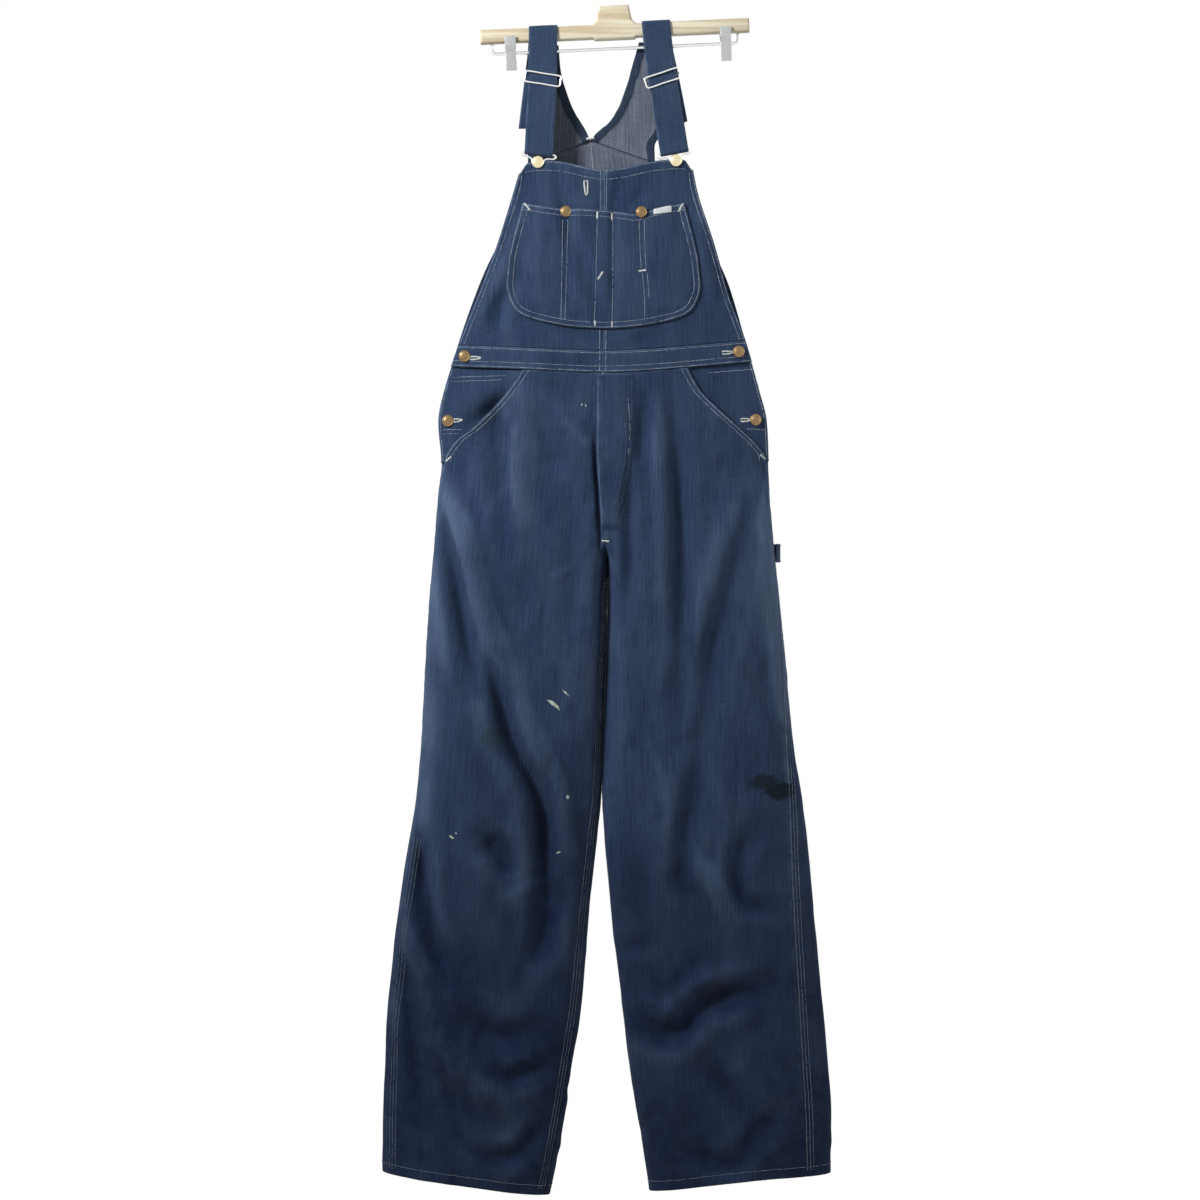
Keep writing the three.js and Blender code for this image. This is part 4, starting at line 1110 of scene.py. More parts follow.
def yoke(side):
    def edge(points):
        line = smooth(points, 1.0)
        along = np.linspace(0, 1, len(line))
        return lambda v: np.stack([np.interp(v, along, line[:, k]) for k in (0, 1)], axis=-1)

    neck, armhole = edge(NECK[side]), edge(ARMHOLE[side])

    def point(u, v):
        flat = lerp(neck(v), armhole(v), u[..., None])
        lap = ease(v, 0.93, 1)  # the foot runs on inside the back panel, as in a lapped seam
        x, z = flat[..., 0], flat[..., 1]
        return np.stack([x, YOKE_DEPTH(z) - 1.4 * lap, z - 3.5 * lap], axis=-1)

    def shape(panel):
        x, z = panel.base[..., 0], panel.base[..., 2]
        waves = 1.3 * noise(x / 17, z / 70, 51) + 0.5 * noise(x / 8, z / 18, 52)
        return waves * ease(panel.from_top, 10, 45) * ease(panel.from_foot, 4, 20)

    return Panel("yoke_" + SIDES[side], point, 60, 155, side, shape)


def edge_band(panel, edges, width):
    """1 within width of those edges, and 0 past it."""
    near = np.min([getattr(panel, "from_" + e) for e in edges], axis=0)
    return 1 - ease(near, width - 0.8, width + 0.8)


legs = {side: front_leg(side) for side in SIDES}
backs = {side: back_panel(side) for side in SIDES}
facings = {side: side_facing(side) for side in SIDES}
bibs = {side: bib(side) for side in SIDES}
yokes = {side: yoke(side) for side in SIDES}
band = waistband()
pouch = bib_pocket()
fly = fly_flap()
for side in SIDES:
    for leg in (legs[side], backs[side]):
        hem = edge_band(leg, ["foot"], 14)
        if leg is backs[side]:
            hem = np.maximum(hem, edge_band(leg, ["left"], 9) * ease(leg.base[..., 2], -660, -640))
        leg.build(hem=hem, turned=hem)
    facings[side].build()
    top = edge_band(bibs[side], ["top"], 13)
    bibs[side].build(hem=top * 0.8, turned=np.maximum(top, edge_band(bibs[side], ["right"], 8)))
    rim = edge_band(yokes[side], ["left", "right"], 11)
    yokes[side].build(hem=rim * 0.7, turned=rim)
band.build()
pouch.build()
fly.build()

# ---------------------------------------------------------------- stitching

draw = np.random.default_rng(5)


class Stitching:
    """Many stitches of one thread as one joined mesh."""

    def __init__(self, name, material):
        self.name, self.material, self.points = name, material, []

    def lay(self, start, end, normal, radius, arch):
        """A low arch of thread for each row, from start to end over a surface that faces along normal."""
        along = unit(end - start)
        side = unit(np.cross(along, normal))
        up = np.cross(side, along)
        radius = np.asarray(radius, float).reshape(-1, 1)
        rings = []
        for share, lift, size in ((0, -0.12, 0.75), (0.5, arch, 1.0), (1, -0.12, 0.75)):
            centre = lerp(start, end, share) + up * lift
            for a, b in ((1, 0), (0, 1), (-1, 0), (0, -1)):
                rings.append(centre + side * a * radius * size + up * b * radius * size * 0.85)
        self.points.append(np.stack(rings, axis=1))

    def run(self, line, pitch=3.2, length=2.5, radius=0.4, broken=0.02):
        """A line of running stitches along points with normals."""
        line = spaced(line, 0.8)
        total = lengths(line[:, :3])[-1]
        starts = np.arange(0.4, total - length, pitch)
        starts = starts[draw.random(len(starts)) > broken]
        if not len(starts):
            return
        starts = starts + draw.normal(0, 0.12, len(starts))
        size = length * draw.normal(1, 0.07, len(starts))
        first, last = at_lengths(line, starts), at_lengths(line, starts + size)
        normal = unit(first[:, 3:] + last[:, 3:])
        first, last = first[:, :3], last[:, :3]
        sideways = unit(np.cross(last - first, normal)) * draw.normal(0, 0.12, (len(starts), 1))
        lift = normal * 0.1
        radius = radius * draw.normal(1, 0.08, len(starts))
        self.lay(first + sideways + lift, last + sideways + lift, normal, radius, 0.26)

    def satin(self, line, width, pitch=0.62, radius=0.36):
        """Close stitches across a line: a bartack, or the edge of a buttonhole."""
        line = spaced(line, pitch)
        normal = unit(line[:, 3:])
        along = np.gradient(line[:, :3], axis=0)
        across = unit(np.cross(along, normal)) * width / 2
        middle = line[:, :3] + normal * 0.25
        slant = along * 0.6
        radius = radius * draw.normal(1, 0.1, len(line))
        self.lay(middle - across - slant, middle + across + slant, normal, radius, 0.45)

    def build(self):
        rings = np.vstack(self.points)
        quads = np.vstack([bands(3, 4)[:, [0, 3, 2, 1]], [[0, 1, 2, 3], [11, 10, 9, 8]]])
        faces = np.arange(len(rings))[:, None, None] * 12 + quads
        add_mesh(self.name, rings.reshape(-1, 3), faces.reshape(-1, 4), [self.material])


def flat_path(points, step):
    """Places about step apart along a path of (x, z), smooth where it has more than two points."""
    if len(points) > 2:
        return smooth(points, step).T
    return spaced(np.array([(*p, 0) for p in points], float), step)[:, :2].T


def front_line(points, off, step):
    """Points with normals along a path of (x, z) on the front."""
    return np.concatenate(on_front(*flat_path(points, step), off), axis=1)


WELL_IN_FRONT, FRONT_WALL = -500, -30


def sampled(panel, x, z):
    """Points with normals where these places meet a panel's outer face, seen from the front."""
    if panel.tree is None:
        points, faces = panel.outer.reshape(-1, 3).tolist(), grid_faces(*panel.outer.shape[:2]).tolist()
        panel.tree = BVHTree.FromPolygons(points, faces)
    rows = []
    for a, b in zip(x, z):
        place, normal, _, _ = panel.tree.ray_cast((a, WELL_IN_FRONT, b), (0, 1, 0))
        if place is None:
            place, normal, _, _ = panel.tree.find_nearest((a, FRONT_WALL, b))
        rows.append([*place, *(normal if normal.y < 0 else -normal)])
    return np.array(rows)


def panel_line(panel, points, step=2.0):
    """Points with normals along a path of (x, z) on one panel."""
    return sampled(panel, *flat_path(points, step))


def round_edge(panel, away):
    """A path of (x, z) a distance inside a panel's sides and foot, from its top left to its top right."""
    rim = np.concatenate([panel.outer[:, 0], panel.outer[-1, 1:-1], panel.outer[::-1, -1]])
    rim = spaced(rim * (1, 0, 1), 9)[:, [0, 2]]
    along = unit(np.gradient(rim, axis=0))
    return rim + np.stack([-along[:, 1], along[:, 0]], axis=1) * away


seams = Stitching("seam_stitches", thread)
tonal = Stitching("tonal_stitches", dark_thread)
tacks = Stitching("bartacks", tack_thread)

TRIPLE_ROW = 1.8, 6.2, 10.6
TWIN_ROW = 2.2, 8.6
ROLLED = -1140  # above this the right outseam lies round the edge
LAST_STITCH = 0.995


def share_down(level, top=WAIST_LINE):
    """How far down a leg's panel that starts at top a level is."""
    return (level - top) / (HEM_LEVEL - top)


for side in SIDES:
    leg, back, chest, neck = legs[side], backs[side], bibs[side], yokes[side]
    back_mouth = share_down(MOUTH_FOOT, BACK_TOP)
    # Felled leg seams.
    for away in TRIPLE_ROW:
        if side == RIGHT:
            seams.run(leg.line("right", away + 5, (share_down(ROLLED), LAST_STITCH)))
        else:
            seams.run(back.line("left", away, (back_mouth, LAST_STITCH)))
    for away in TRIPLE_ROW:
        seams.run(leg.line("left", away, (share_down(CROTCH) + 0.02, LAST_STITCH)))
    # Pocket mouths, and the seat's and sides' rows.
    for away in TWIN_ROW:
        seams.run(leg.line("right", away, (0, share_down(MOUTH_FOOT) + 0.01)))
        seams.run(back.line("right", away, (0, share_down(CROTCH, BACK_TOP))), broken=0.01)
        seams.run(back.line("left", away, (0, back_mouth)))
    # Hems.
    seams.run(leg.line("foot", 12.5))
    seams.run(back.line("foot", 12.5))
    # Bib: top hem, side hems, centre seam.
    seams.run(chest.line("top", 1.8))
    seams.run(chest.line("top", 12.5, (0.0, 0.93)))
    seams.run(chest.line("right", 2.0))
    seams.run(chest.line("right", 7.5, (0.04, 1.0)))
    seams.run(chest.line("left", 3.8))
    # Yokes: neck and armhole hems, and the vee seam, which shows on both faces.
    for inside in (False, True):
        seams.run(neck.line("left", 2.0, (0.05, 1.0), inside))
        seams.run(neck.line("left", 9.5, (0.05, 0.97), inside))
        seams.run(neck.line("right", 2.5, (0.05, 1.0), inside))
        seams.run(back.line("top", 2.2, inside=inside))
        seams.run(back.line("top", 8.0, inside=inside))
seams.run(band.line("top", 3.0))
for away in (2.0, 8.2):
    seams.run(band.line("foot", away))
for away in (-0.0104, 0.0104):
    seams.run(band.share(0.5 + away))

# Bib pocket: its edge rows and the rows that divide it.
for away in (2.0, 8.4):
    seams.run(pouch.line("top", away))
    seams.run(panel_line(pouch, round_edge(pouch, away)))
for path in (
    [(-66, -342), (-67, -420), (-68, -474)],
    [(-59, -342), (-61, -420), (-63, -475)],
    [(-21, -342), (-23, -420), (-25, -479)],
    [(-1, -342), (-1, -420), (-2, -479)],
    [(33, -342), (34, -380), (36, -407)],
    [(40, -342), (40.5, -380), (42, -407)],
    [(37, -411), (40, -445), (40, -474)],
    [(43, -411), (45, -430), (46, -445)],
):
    seams.run(panel_line(pouch, path))
# Fly.
for path in (
    [(18, -560), (20, -600), (22, -640), (12, -700), (-4, -742)],
    [(12, -560), (14, -600), (16, -636), (7, -694), (-8, -735)],
):
    tonal.run(panel_line(fly, path))
seams.run(panel_line(fly, [(18.5, -574), (21, -610), (19, -648)]), broken=0.3)
# Side facings: rows under the waist, above the pocket's foot and down the side.
for side, path in (
    (RIGHT, [(-209, -545), (-140, -543.5)]),
    (RIGHT, [(-211, -550.5), (-143, -549)]),
    (LEFT, [(122, -540), (183, -534)]),
    (RIGHT, [(-222, -613), (-195, -613)]),
    (RIGHT, [(-222, -618.5), (-199, -618)]),
    (LEFT, [(172, -612), (197, -613)]),
):
    seams.run(panel_line(facings[side], path))
for side in SIDES:
    seams.run(facings[side].line("right", 3))


SATIN_PITCH = 0.6
EYE_STITCH = 1.9


def bartack(panel, middle, length, lean, width=2.4):
    """A bartack centred on (x, z), leaning from the upright by an angle in degrees."""
    away = np.array([math.sin(math.radians(lean)), math.cos(math.radians(lean))]) * length / 2
    ends = [np.array(middle) - away, np.array(middle) + away]
    tacks.satin(panel_line(panel, ends, SATIN_PITCH), width)


bartack(pouch, (-21, -336.5), 8, 0)
bartack(pouch, (-2, -338), 8, 0)
bartack(pouch, (-112, -325), 11, -40)
bartack(pouch, (87, -326), 12, 30)
bartack(pouch, (-17, -415), 11, 32)
bartack(pouch, (37, -408.5), 9, 80)
bartack(pouch, (-24, -477), 6, 0, 1.6)
bartack(pouch, (-2, -478), 6, 0, 1.6)
tacks.satin(front_line([(-15, -758), (-6, -758.5)], 0.2, SATIN_PITCH), 2.6)
bartack(legs[RIGHT], (-214, -651), 8, 50)
bartack(legs[LEFT], (193.5, -648), 8, -50)


def buttonhole(panel, start, end, width=6):
    """A worked buttonhole from start to end, as a narrow eye of close stitches round a slit."""
    start, end = np.array(start, float), np.array(end, float)
    along = unit(end - start)
    across = np.array([-along[1], along[0]])
    half = (width - 2) / 2

    def lip(way):
        side = across * half * way
        return [start + side * 0.6, start + along * 2 + side, end - along * 3 + side * 0.6]

    tacks.satin(panel_line(panel, [*lip(1), end, *lip(-1)[::-1]], SATIN_PITCH), EYE_STITCH)


buttonhole(bibs[RIGHT], (-36, -291), (-35, -310), 6.5)
buttonhole(band, (-186, -520.5), (-172, -520.5))
buttonhole(band, (141, -514), (155, -513))
buttonhole(facings[RIGHT], (-208, -601.5), (-196, -600.5))
buttonhole(facings[LEFT], (165, -601), (178, -600.5))

# A white bartack where the neck edges meet at the centre back, on the inside.
inside_back = YOKE_DEPTH(-232) - DENIM * 1.85 - 0.4
nape = [[-35, inside_back, -233, 0, -1, 0], [-25.5, inside_back, -231.5, 0, -1, 0]]
tacks.satin(np.array(nape, float), 3.4)
seams.build()
tacks.build()

# ---------------------------------------------------------------- ribbons: straps and the hammer loop


class Ribbon:
    """A doubled band of cloth along stations of (place, across)."""

    def __init__(self, stations, width, thickness, step=2.6):
        places = np.array([p for p, _ in stations], float)
        across = np.array([a for _, a in stations], float)
        line = smooth(np.concatenate([places, across], axis=1), step)
        self.middle, self.across = line[:, :3], unit(line[:, 3:])
        self.normal = unit(np.cross(np.gradient(self.middle, axis=0), self.across))
        self.along = lengths(self.middle)
        self.width, self.thickness = width, thickness

    def face_line(self, off_middle, span, side=1):
        """Points with normals along the ribbon, off its middle line, on its outer or inner face."""
        picked = (self.along >= span[0]) & (self.along <= span[1])
        up = self.normal[picked] * side
        lift = self.thickness / 2 + self.waver(off_middle)[picked] * side
        line = self.middle[picked] + self.across[picked] * off_middle + up * lift[:, None]
        return np.concatenate([line, up], axis=1)

    def waver(self, off_middle):
        """Small ripples of the band, strongest at its edges."""
        share = abs(off_middle) / (self.width / 2)
        ripple = noise(self.along / 13, np.full_like(self.along, off_middle / 16), 61)
        return (0.10 + 0.28 * share**2) * ripple

    def build(self, node):
        """The closed band that stands in for a CAD node."""
        half, deep = self.width / 2, self.thickness / 2
        flat = np.linspace(-half + 0.9, half - 0.9, 15)
        crown = [deep * (1 - 0.16 * bell(abs(w) - (half - 3.6), 1.4)) for w in flat]
        section = [*zip(flat, crown), (half - 0.25, deep * 0.62), (half, 0), (half - 0.25, -deep * 0.62)]
        section += [(w, -t) for w, t in zip(flat[::-1], crown[::-1])]
        section += [(-half + 0.25, -deep * 0.62), (-half, 0), (-half + 0.25, deep * 0.62)]
        columns = []
        for w, t in section:
            columns.append(self.middle + self.across * w + self.normal * (t + self.waver(w))[:, None])
        points = np.stack(columns, axis=1)
        rows, around = points.shape[:2]
        place = np.arange(rows * around).reshape(rows, around).tolist()
        faces = bands(rows, around)[:, [0, 3, 2, 1]].tolist() + [place[0], place[-1][::-1]]
        across = np.array([w for w, _ in section])
        uv = np.stack([np.tile(across, (rows, 1)), np.repeat(-self.along[:, None], around, 1)], axis=-1)
        rim = bell(np.abs(across) - half, 1.6)
        scuffs = noise(self.along[:, None] / 5, across[None] / 4, 62)
        wear = np.clip(0.10 + rim[None] * (0.5 + 0.5 * scuffs), 0, 1)
        values = {"wear": wear, "grime_and_shade": np.zeros_like(wear)}
        points, uv = points.reshape(-1, 3), uv.reshape(-1, 2)
        piece = add_mesh(node + "_cloth", points, faces, [strap_face], "denim", [node], uv, values)


# Where each strap crosses the bar, and (x, z, tilt) of its wires and of its sewn end.
STRAPS = {
    RIGHT: {
        "top": -91.5,
        "slider": (-91.8, -159, -0.16),
        "buckle": (-97, -256, -0.11),
        "tail": (-105.5, -219, 0),
    },
    LEFT: {
        "top": 55,
        "slider": (63.4, -158, 0.325),
        "buckle": (78.7, -254, 0.19),
        "tail": (80, -217, 0.45),
    },
}
BAR_HALF = 7
BAR_FOLD = BAR_HALF + GAP + STRAP_THICK / 2
SLIDER_DEPTH = 12.5
BUCKLE_DEPTH = 14.4
LOOP = WIRE + GAP + STRAP_THICK / 2
STACK = STRAP_THICK + GAP + 0.1


def bar_top_at(x):
    return SHANK_FOOT + (BAR_TOP - SHANK_FOOT) * math.cos(HANGER_TILT) + x * math.sin(HANGER_TILT)


def tilted(tilt):
    return np.array([math.cos(tilt), 0, math.sin(tilt)]), np.array([-math.sin(tilt), 0, math.cos(tilt)])


def strap_stations(top, slider, buckle, tail):
    """The strap's way: up the back, over the bar, round the buckle's bar and up to the slider's."""
    stations = []

    def add(x, y, z, tilt):
        stations.append(((x, y, z), tilted(tilt)[0]))

    rest = bar_top_at(top)
    for t in (0, 0.3, 0.6, 0.85):
        z = lerp(tail[1], rest - 14, t)
        over_yoke = YOKE_DEPTH(z) + GAP + 0.2 + STRAP_THICK / 2
        depth = over_yoke if t == 0 else max(BAR_FOLD, over_yoke)
        add(lerp(tail[0], top, t), depth, z, lerp(tail[2], HANGER_TILT, t))
    turn = BAR_FOLD - BAR_HALF + 2
    for i in range(9):
        angle = math.pi * i / 8
        height = rest - 2 + math.sin(angle) * turn
        if i == 4:
            add(top, BAR_HALF - 2, height, HANGER_TILT)
        corner = BAR_HALF - 2 if i < 4 else 2 - BAR_HALF
        add(top, corner + math.cos(angle) * turn, height, HANGER_TILT)
    for t in (0.25, 0.6, 1):
        x, z = lerp(top, slider[0], t), lerp(rest - 6, slider[1], t)
        add(x, -lerp(BAR_FOLD, SLIDER_DEPTH, t), z, HANGER_TILT)
    for t in (0.35, 0.7):
        x, z = lerp(slider[0], buckle[0], t), lerp(slider[1], buckle[1], t)
        add(x, -lerp(SLIDER_DEPTH, BUCKLE_DEPTH + LOOP, t), z, lerp(HANGER_TILT, buckle[2], t))
    up = tilted(buckle[2])[1]
    for i in range(7):
        angle = math.pi + math.pi * i / 6
        x, _, z = np.array([buckle[0], 0, buckle[1]]) + up * math.sin(angle) * LOOP
        add(x, -BUCKLE_DEPTH + math.cos(angle) * LOOP, z, buckle[2])
    middle = -SLIDER_DEPTH + STACK + LOOP
    for t in (0.3, 0.65, 0.9):
        x, z = lerp(buckle[0], slider[0], t), lerp(buckle[1], slider[1], t)
        add(x, lerp(-BUCKLE_DEPTH + LOOP, middle + LOOP, t), z, lerp(buckle[2], slider[2], t))
    up = tilted(slider[2])[1]
    for i in range(6):
        angle = math.pi * i / 5
        x, _, z = np.array([slider[0], 0, slider[1]]) + up * math.sin(angle) * LOOP
        add(x, middle + math.cos(angle) * LOOP, z, slider[2])
    x, _, z = np.array([slider[0], 0, slider[1]]) - up * 9
    add(x, middle - LOOP, z, slider[2])
    return stations


for side, name in SIDES.items():
    strap = Ribbon(strap_stations(**STRAPS[side]), STRAP_WIDTH, STRAP_THICK)
    strap.build("strap_" + name)
    for off_middle in (-14.8, 14.8):
        tonal.run(strap.face_line(off_middle, (3, 305)), broken=0.03)
    # The sewn end on the back: a box of stitches.
    for off_middle in (-13, 13):
        tonal.run(strap.face_line(off_middle, (4, 34)))


def hammer_loop():
    steps = 8
    stations = []
    for i in range(steps + 1):
        place = surface(LEFT, np.array(lerp(0.99, 1.2, i / steps)), np.array(-773.0))
        out = unit(np.array([place[0] - 120, place[1] * 3, 0]))
        off = 1.6 + 9.5 * math.sin(math.pi * i / steps)
        stations.append((place + out * off, np.array([0, 0, 1.0])))
    loop = Ribbon(stations, 24, STRAP_THICK, step=1.6)
    loop.build("hammer_loop")
    # The ribbon's normal may look inwards here, so the stitches go on the face that looks out.
    side = 1 if loop.normal[len(loop.normal) // 2][0] > 0 else -1
    for off_middle in (-9.5, 0, 9.5):
        tonal.run(loop.face_line(off_middle, (1, loop.along[-1] - 1), side), broken=0)


hammer_loop()
tonal.build()

# ---------------------------------------------------------------- buttons, wire and label


def centre_of(name):
    low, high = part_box(name)
    return (np.array(low) + np.array(high)) / 2 / MM


BUTTON = [
    (0.1, 0), (3, 0), (3, 1.2), (7, 1.4), (7.7, 1.8), (8, 2.4), (7.7, 3.1), (7.1, 3.45), (6.5, 3.3),
    (6.1, 3.1), (5.7, 3.3), (4.6, 3.75), (3, 4.05), (1.5, 4.15), (0.1, 4.2),
]
BUTTON_WIDTH = 16


def button(name, material, slot, panel=None):
    """A tack button where the frame has it, on the panel that carries it."""
    low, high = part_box(name)
    middle = centre_of(name)
    size = (high.x - low.x) / MM / BUTTON_WIDTH
    points, faces = lathe([(r * size, h) for r, h in BUTTON])
    foot = float(high.y) / MM
    if panel is not None:
        foot = sampled(panel, [middle[0]], [middle[2]])[0][1] + 0.6
    add_mesh(name + "_tack", points + [middle[0], foot, middle[2]], faces, [material], slot, [name])


for side, name in SIDES.items():
    button("pocket_button_" + name, brass, "brass", pouch)
    button("side_button_" + name, brass, "brass", band)
    button("hip_button_" + name, brass, "brass", facings[side])
    button("strap_button_" + name, pale_brass, "pale_brass")


def placed(line, x, depth, z, tilt):
    """A line drawn about its own middle, tilted and moved to its place on the front."""
    across, up = tilted(tilt)
    line = np.asarray(line, float)
    turned = line[:, :1] * across + line[:, 1:2] * np.array([0, 1, 0]) + line[:, 2:] * up
    return turned + [x, depth, z]


def mirrored(half):
    """A whole line from its middle point and its right half."""
    return [(-a, b, c) for a, b, c in half[:0:-1]] + half


WIRE_SIDES = 12


def add_wire(name, wires):
    points, faces = together(wires)
    add_mesh(name + "_wire", points, faces, [steel], "steel", [name])


def slider_wire(side):
    name, tilt = "slider_" + SIDES[side], STRAPS[side]["slider"][2]
    centre = centre_of(name)
    place = centre[0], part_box(name)[0].y / MM + WIRE, centre[2], tilt
    wide, high, corner = 23, 6.8, 2.2
    half = np.array([
        (corner - wide, 0, high), (0, 0, high), (wide - corner, 0, high),
        (wide, 0, high - corner), (wide, 0, 0), (wide, 0, corner - high),
    ])
    loop = smooth(np.vstack([half, -half]), 0.9, closed=True)
    back = LOOP + 0.5 + STACK + LOOP
    bend = wide - 2.4
    right = [(0, back, 0), (bend - 3.4, back, 0), (bend, back * 0.86, 0), (wide - 0.4, back * 0.45, 0)]
    bar = smooth(mirrored([*right, (wide, 0, 0)]), 0.9)
    frame_wire = tube(placed(loop, *place), WIRE, WIRE_SIDES, closed=True)
    add_wire(name, [frame_wire, tube(placed(bar, *place), WIRE * 0.9, WIRE_SIDES)])


def buckle_wire(side):
    x, z, tilt = STRAPS[side]["buckle"]
    half, low, radius = 22.5, 8.6, 7.4
    bend = []
    for degrees in (-30, -65, -90, -115, -150):
        angle = math.radians(degrees)
        bend.append((math.cos(angle) * radius, 0, -low + math.sin(angle) * radius))
    loop = smooth(
        [
            (-half + 2.5, 0, 0), (0, 0, 0), (half - 2.5, 0, 0), (half, 0, -2.6), (half - 2.8, 0, -5.2),
            (13, 0, -5.4), (8.6, 0, -7.4), *bend, (-8.6, 0, -7.4), (-13, 0, -5.4), (2.8 - half, 0, -5.2),
            (-half, 0, -2.6),
        ],
        0.8,
        closed=True,
    )
    wire = tube(placed(loop, x, -BUCKLE_DEPTH, z, tilt), WIRE, WIRE_SIDES, closed=True)
    add_wire("buckle_" + SIDES[side], [wire])


for side in SIDES:
    slider_wire(side)
    buckle_wire(side)


def blank_label():
    middle = centre_of("label")
    width, height, lean = 23, 10.1, 0.14
    u, v = np.linspace(-0.5, 0.5, 24), np.linspace(0.5, -0.5, 11)
    across, down = np.meshgrid(u, v)
    x = middle[0] + across * width
    z = middle[2] + across * width * lean + down * height
    rows = sampled(pouch, x.ravel(), z.ravel()).reshape(*x.shape, 6)
    off = 0.5 + 0.25 * noise(x / 5, z / 4, 71)
    outer = rows[..., :3] + rows[..., 3:] * (off[..., None] + 0.5)
    inner = rows[..., :3] + rows[..., 3:] * 0.15
    size = across.size
    points = np.vstack([outer.reshape(-1, 3), inner.reshape(-1, 3)])
    ring = rim_of(*across.shape)
    after = np.roll(ring, -1)
    rim = np.stack([ring, after, after + size, ring + size], axis=1)
    faces = np.vstack([grid_faces(*across.shape, turned=True), grid_faces(*across.shape, size), rim])
    grain = np.stack([across * width, down * height], axis=-1).reshape(-1, 2)
    piece = add_mesh("label_tape", points, faces, [tape], "label", ["label"], np.vstack([grain, grain]))


blank_label()


def paint_mark(x, z, length, width, lean, seed):
    """A thin ragged flake of dried paint on a leg."""
    angles = np.linspace(0, 2 * np.pi, 28, endpoint=False)
    ragged = 1 + 0.35 * noise(angles * 2.2, np.full_like(angles, seed), 81)
    rings = [(0.0, 0.32), (0.6, 0.30), (0.9, 0.2), (1.0, -0.1)]
    lean = math.radians(lean)
    turn = np.array([math.cos(lean), math.sin(lean)])
    side = np.array([-math.sin(lean), math.cos(lean)])
    leg = legs[RIGHT] if x < CENTRE_FRONT(z) else legs[LEFT]
    points = []
    for share, lift in rings:
        flat = (
            np.array([x, z])
            + np.outer(np.cos(angles) * ragged * share * length / 2, turn)
            + np.outer(np.sin(angles) * ragged * share * width / 2, side)
        )
        rows = sampled(leg, flat[:, 0], flat[:, 1])
        points.append(rows[:, :3] + rows[:, 3:] * (lift + 0.1))
    return np.vstack(points), bands(len(rings), len(angles)).tolist()


# Each is x, z, length, width and lean in degrees.
PAINT_MARKS = [
    (-78, -968, 21, 4.2, -40), (-61.5, -954, 11, 2.2, -40), (-59, -1088, 3, 5, 0),
    (-71, -1160, 7, 1.6, 25), (-209, -1140, 7, 2.4, -30), (-203, -1135, 2.4, 2, 0),
    (-36, -583, 1.4, 3.4, 0), (-41, -582, 1.2, 2.6, 0),
]
marks = [paint_mark(*mark, seed) for seed, mark in enumerate(PAINT_MARKS, 1)]
add_mesh("paint_marks", *together(marks), [paint])

# ---------------------------------------------------------------- hanger


def hanger_place(line):
    """A line drawn about the foot of the shank, tilted with the hanger."""
    return placed(line, 0, 0, SHANK_FOOT, HANGER_TILT)


def hook():
    inner, wire = 19.1, 1.9
    bend = []
    for i in range(12):
        angle = math.radians(lerp(205, -35, i / 11))
        bend.append((math.cos(angle) * (inner + wire), 0, -inner + math.sin(angle) * (inner + wire)))
    line = smooth([*bend, (9.5, 0, -41), (2.2, 0, -48), (0, 0, -54), (0, 0, SHANK_FOOT + 0.5)], 1.2)
    add_mesh("hook_wire", *tube(line, wire, 16), [hanger_steel], "steel", ["hanger_hook"])


def rod():
    top = BAR_TOP - SHANK_FOOT - 18 - GAP - 1.2
    end, z, corner, radius = 160, -55.5, 5, 2.2
    half = [(0, 0, z), (end - 2 * corner, 0, z), (end - corner, 0, z)]
    half += [(end - 1.5, 0, z + 1.5), (end, 0, z + corner), (end, 0, top)]
    line = smooth(mirrored(half), 2)
    add_mesh("rod_wire", *tube(hanger_place(line), radius, 16), [hanger_steel], "steel", ["hanger_rod"])


WELD = 1e-5
SHARP_EDGE = math.radians(25)


def softened(name, material, width):
    """A CAD node's own form with its edges rounded."""
    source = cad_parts[name]
    piece = bpy.data.objects.new(name + "_finished", source.data.copy())
    piece.data.materials.clear()
    piece.data.materials.append(material)
    bpy.context.scene.collection.objects.link(piece)
    weld = piece.modifiers.new("weld", "WELD")
    weld.merge_threshold = WELD
    bevel = piece.modifiers.new("round", "BEVEL")
    bevel.width, bevel.segments, bevel.angle_limit = width * MM, 3, SHARP_EDGE
    bevel.harden_normals = True
    piece.data.polygons.foreach_set("use_smooth", np.ones(len(piece.data.polygons), bool))
    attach(piece, "root")
    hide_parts(name)


hook()
rod()
softened("hanger_wood", beech, 0.9)
for name in SIDES.values():
    softened("hanger_clip_" + name, clip_steel, 0.25)

# ---------------------------------------------------------------- stage, light and camera

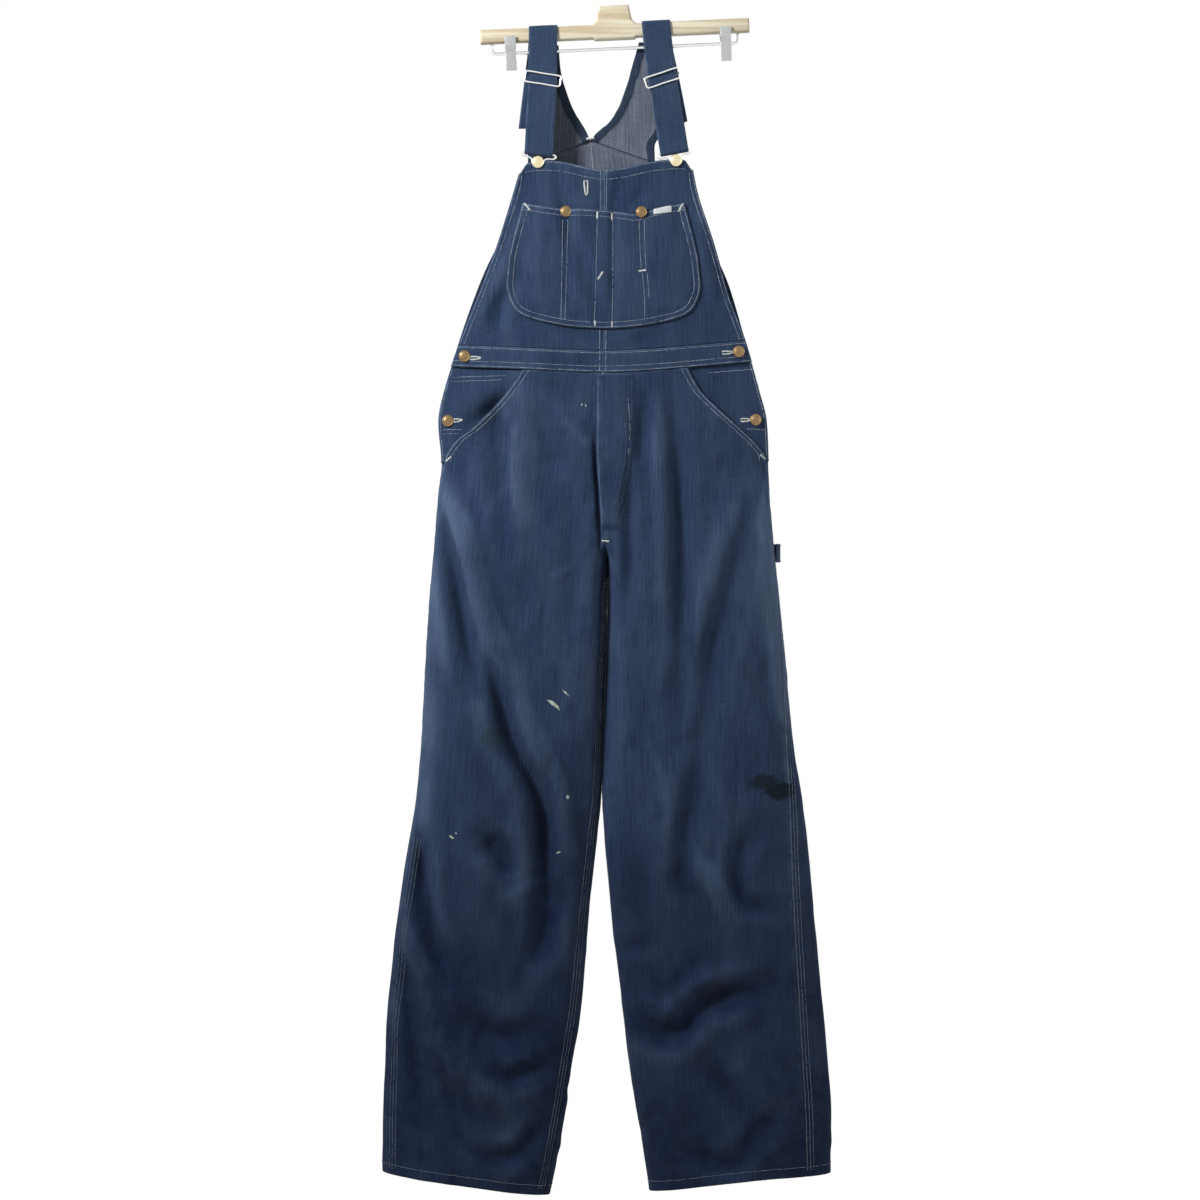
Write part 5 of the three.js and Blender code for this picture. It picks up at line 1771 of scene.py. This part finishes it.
centre_x = -0.0176
view_height = -0.834
view_width = 1.56  # metres across the frame at the garment's middle plane
view_distance = 3.6
backdrop_radius = 12
floor_radius = 11.5
floor_level = cad_box[0].z - 0.12
sky_strength = 0.17

white = Paint("backdrop_white", (0, 0, 0), 1, specular=0)
white.give(white.shader, "Emission Color", (1, 1, 1, 1))
white.give(white.shader, "Emission Strength", 1)


def stage_piece(name):
    """Makes the object just added a white surround that only the camera and reflections see."""
    piece = bpy.context.object
    piece.name = name
    piece.data.materials.append(white.material)
    piece.visible_diffuse = False
    piece.visible_transmission = False
    piece.visible_shadow = False


place = (0, 0, view_height)
bpy.ops.mesh.primitive_uv_sphere_add(segments=48, ring_count=24, radius=backdrop_radius, location=place)
stage_piece("backdrop")
place = (0, 0, floor_level)
bpy.ops.mesh.primitive_circle_add(vertices=96, radius=floor_radius, fill_type="NGON", location=place)
stage_piece("floor")

world = bpy.data.worlds.new("studio")
bpy.context.scene.world = world
world.use_nodes = True
sky = world.node_tree.nodes["Background"].inputs
sky["Color"].default_value = (0.9, 0.95, 1, 1)
sky["Strength"].default_value = sky_strength


def area_light(name, place, target, size, power):
    data = bpy.data.lights.new(name, "AREA")
    data.shape, data.size, data.energy = "DISK", size, power
    lamp = bpy.data.objects.new(name, data)
    lamp.location = place
    lamp.rotation_euler = (Vector(target) - Vector(place)).to_track_quat("-Z", "Y").to_euler()
    bpy.context.scene.collection.objects.link(lamp)


area_light("key", (-1.75, -1.3, 0.55), (0, 0, -0.55), 0.6, 62)
area_light("fill", (1.9, -0.45, -0.3), (0.1, 0, -0.8), 0.9, 13)
area_light("rear", (0.9, 2.0, 0.7), (0, 0, -0.7), 1.2, 38)

camera_data = bpy.data.cameras.new("camera")
camera = bpy.data.objects.new("camera", camera_data)
camera.location = (centre_x, -view_distance, view_height)
camera.rotation_euler = (math.pi / 2, 0, 0)
camera_data.lens = camera_data.sensor_width * view_distance / view_width
camera_data.clip_start, camera_data.clip_end = 0.05, 60
bpy.context.scene.collection.objects.link(camera)
bpy.context.scene.camera = camera
bpy.context.scene.view_settings.view_transform = "Standard"
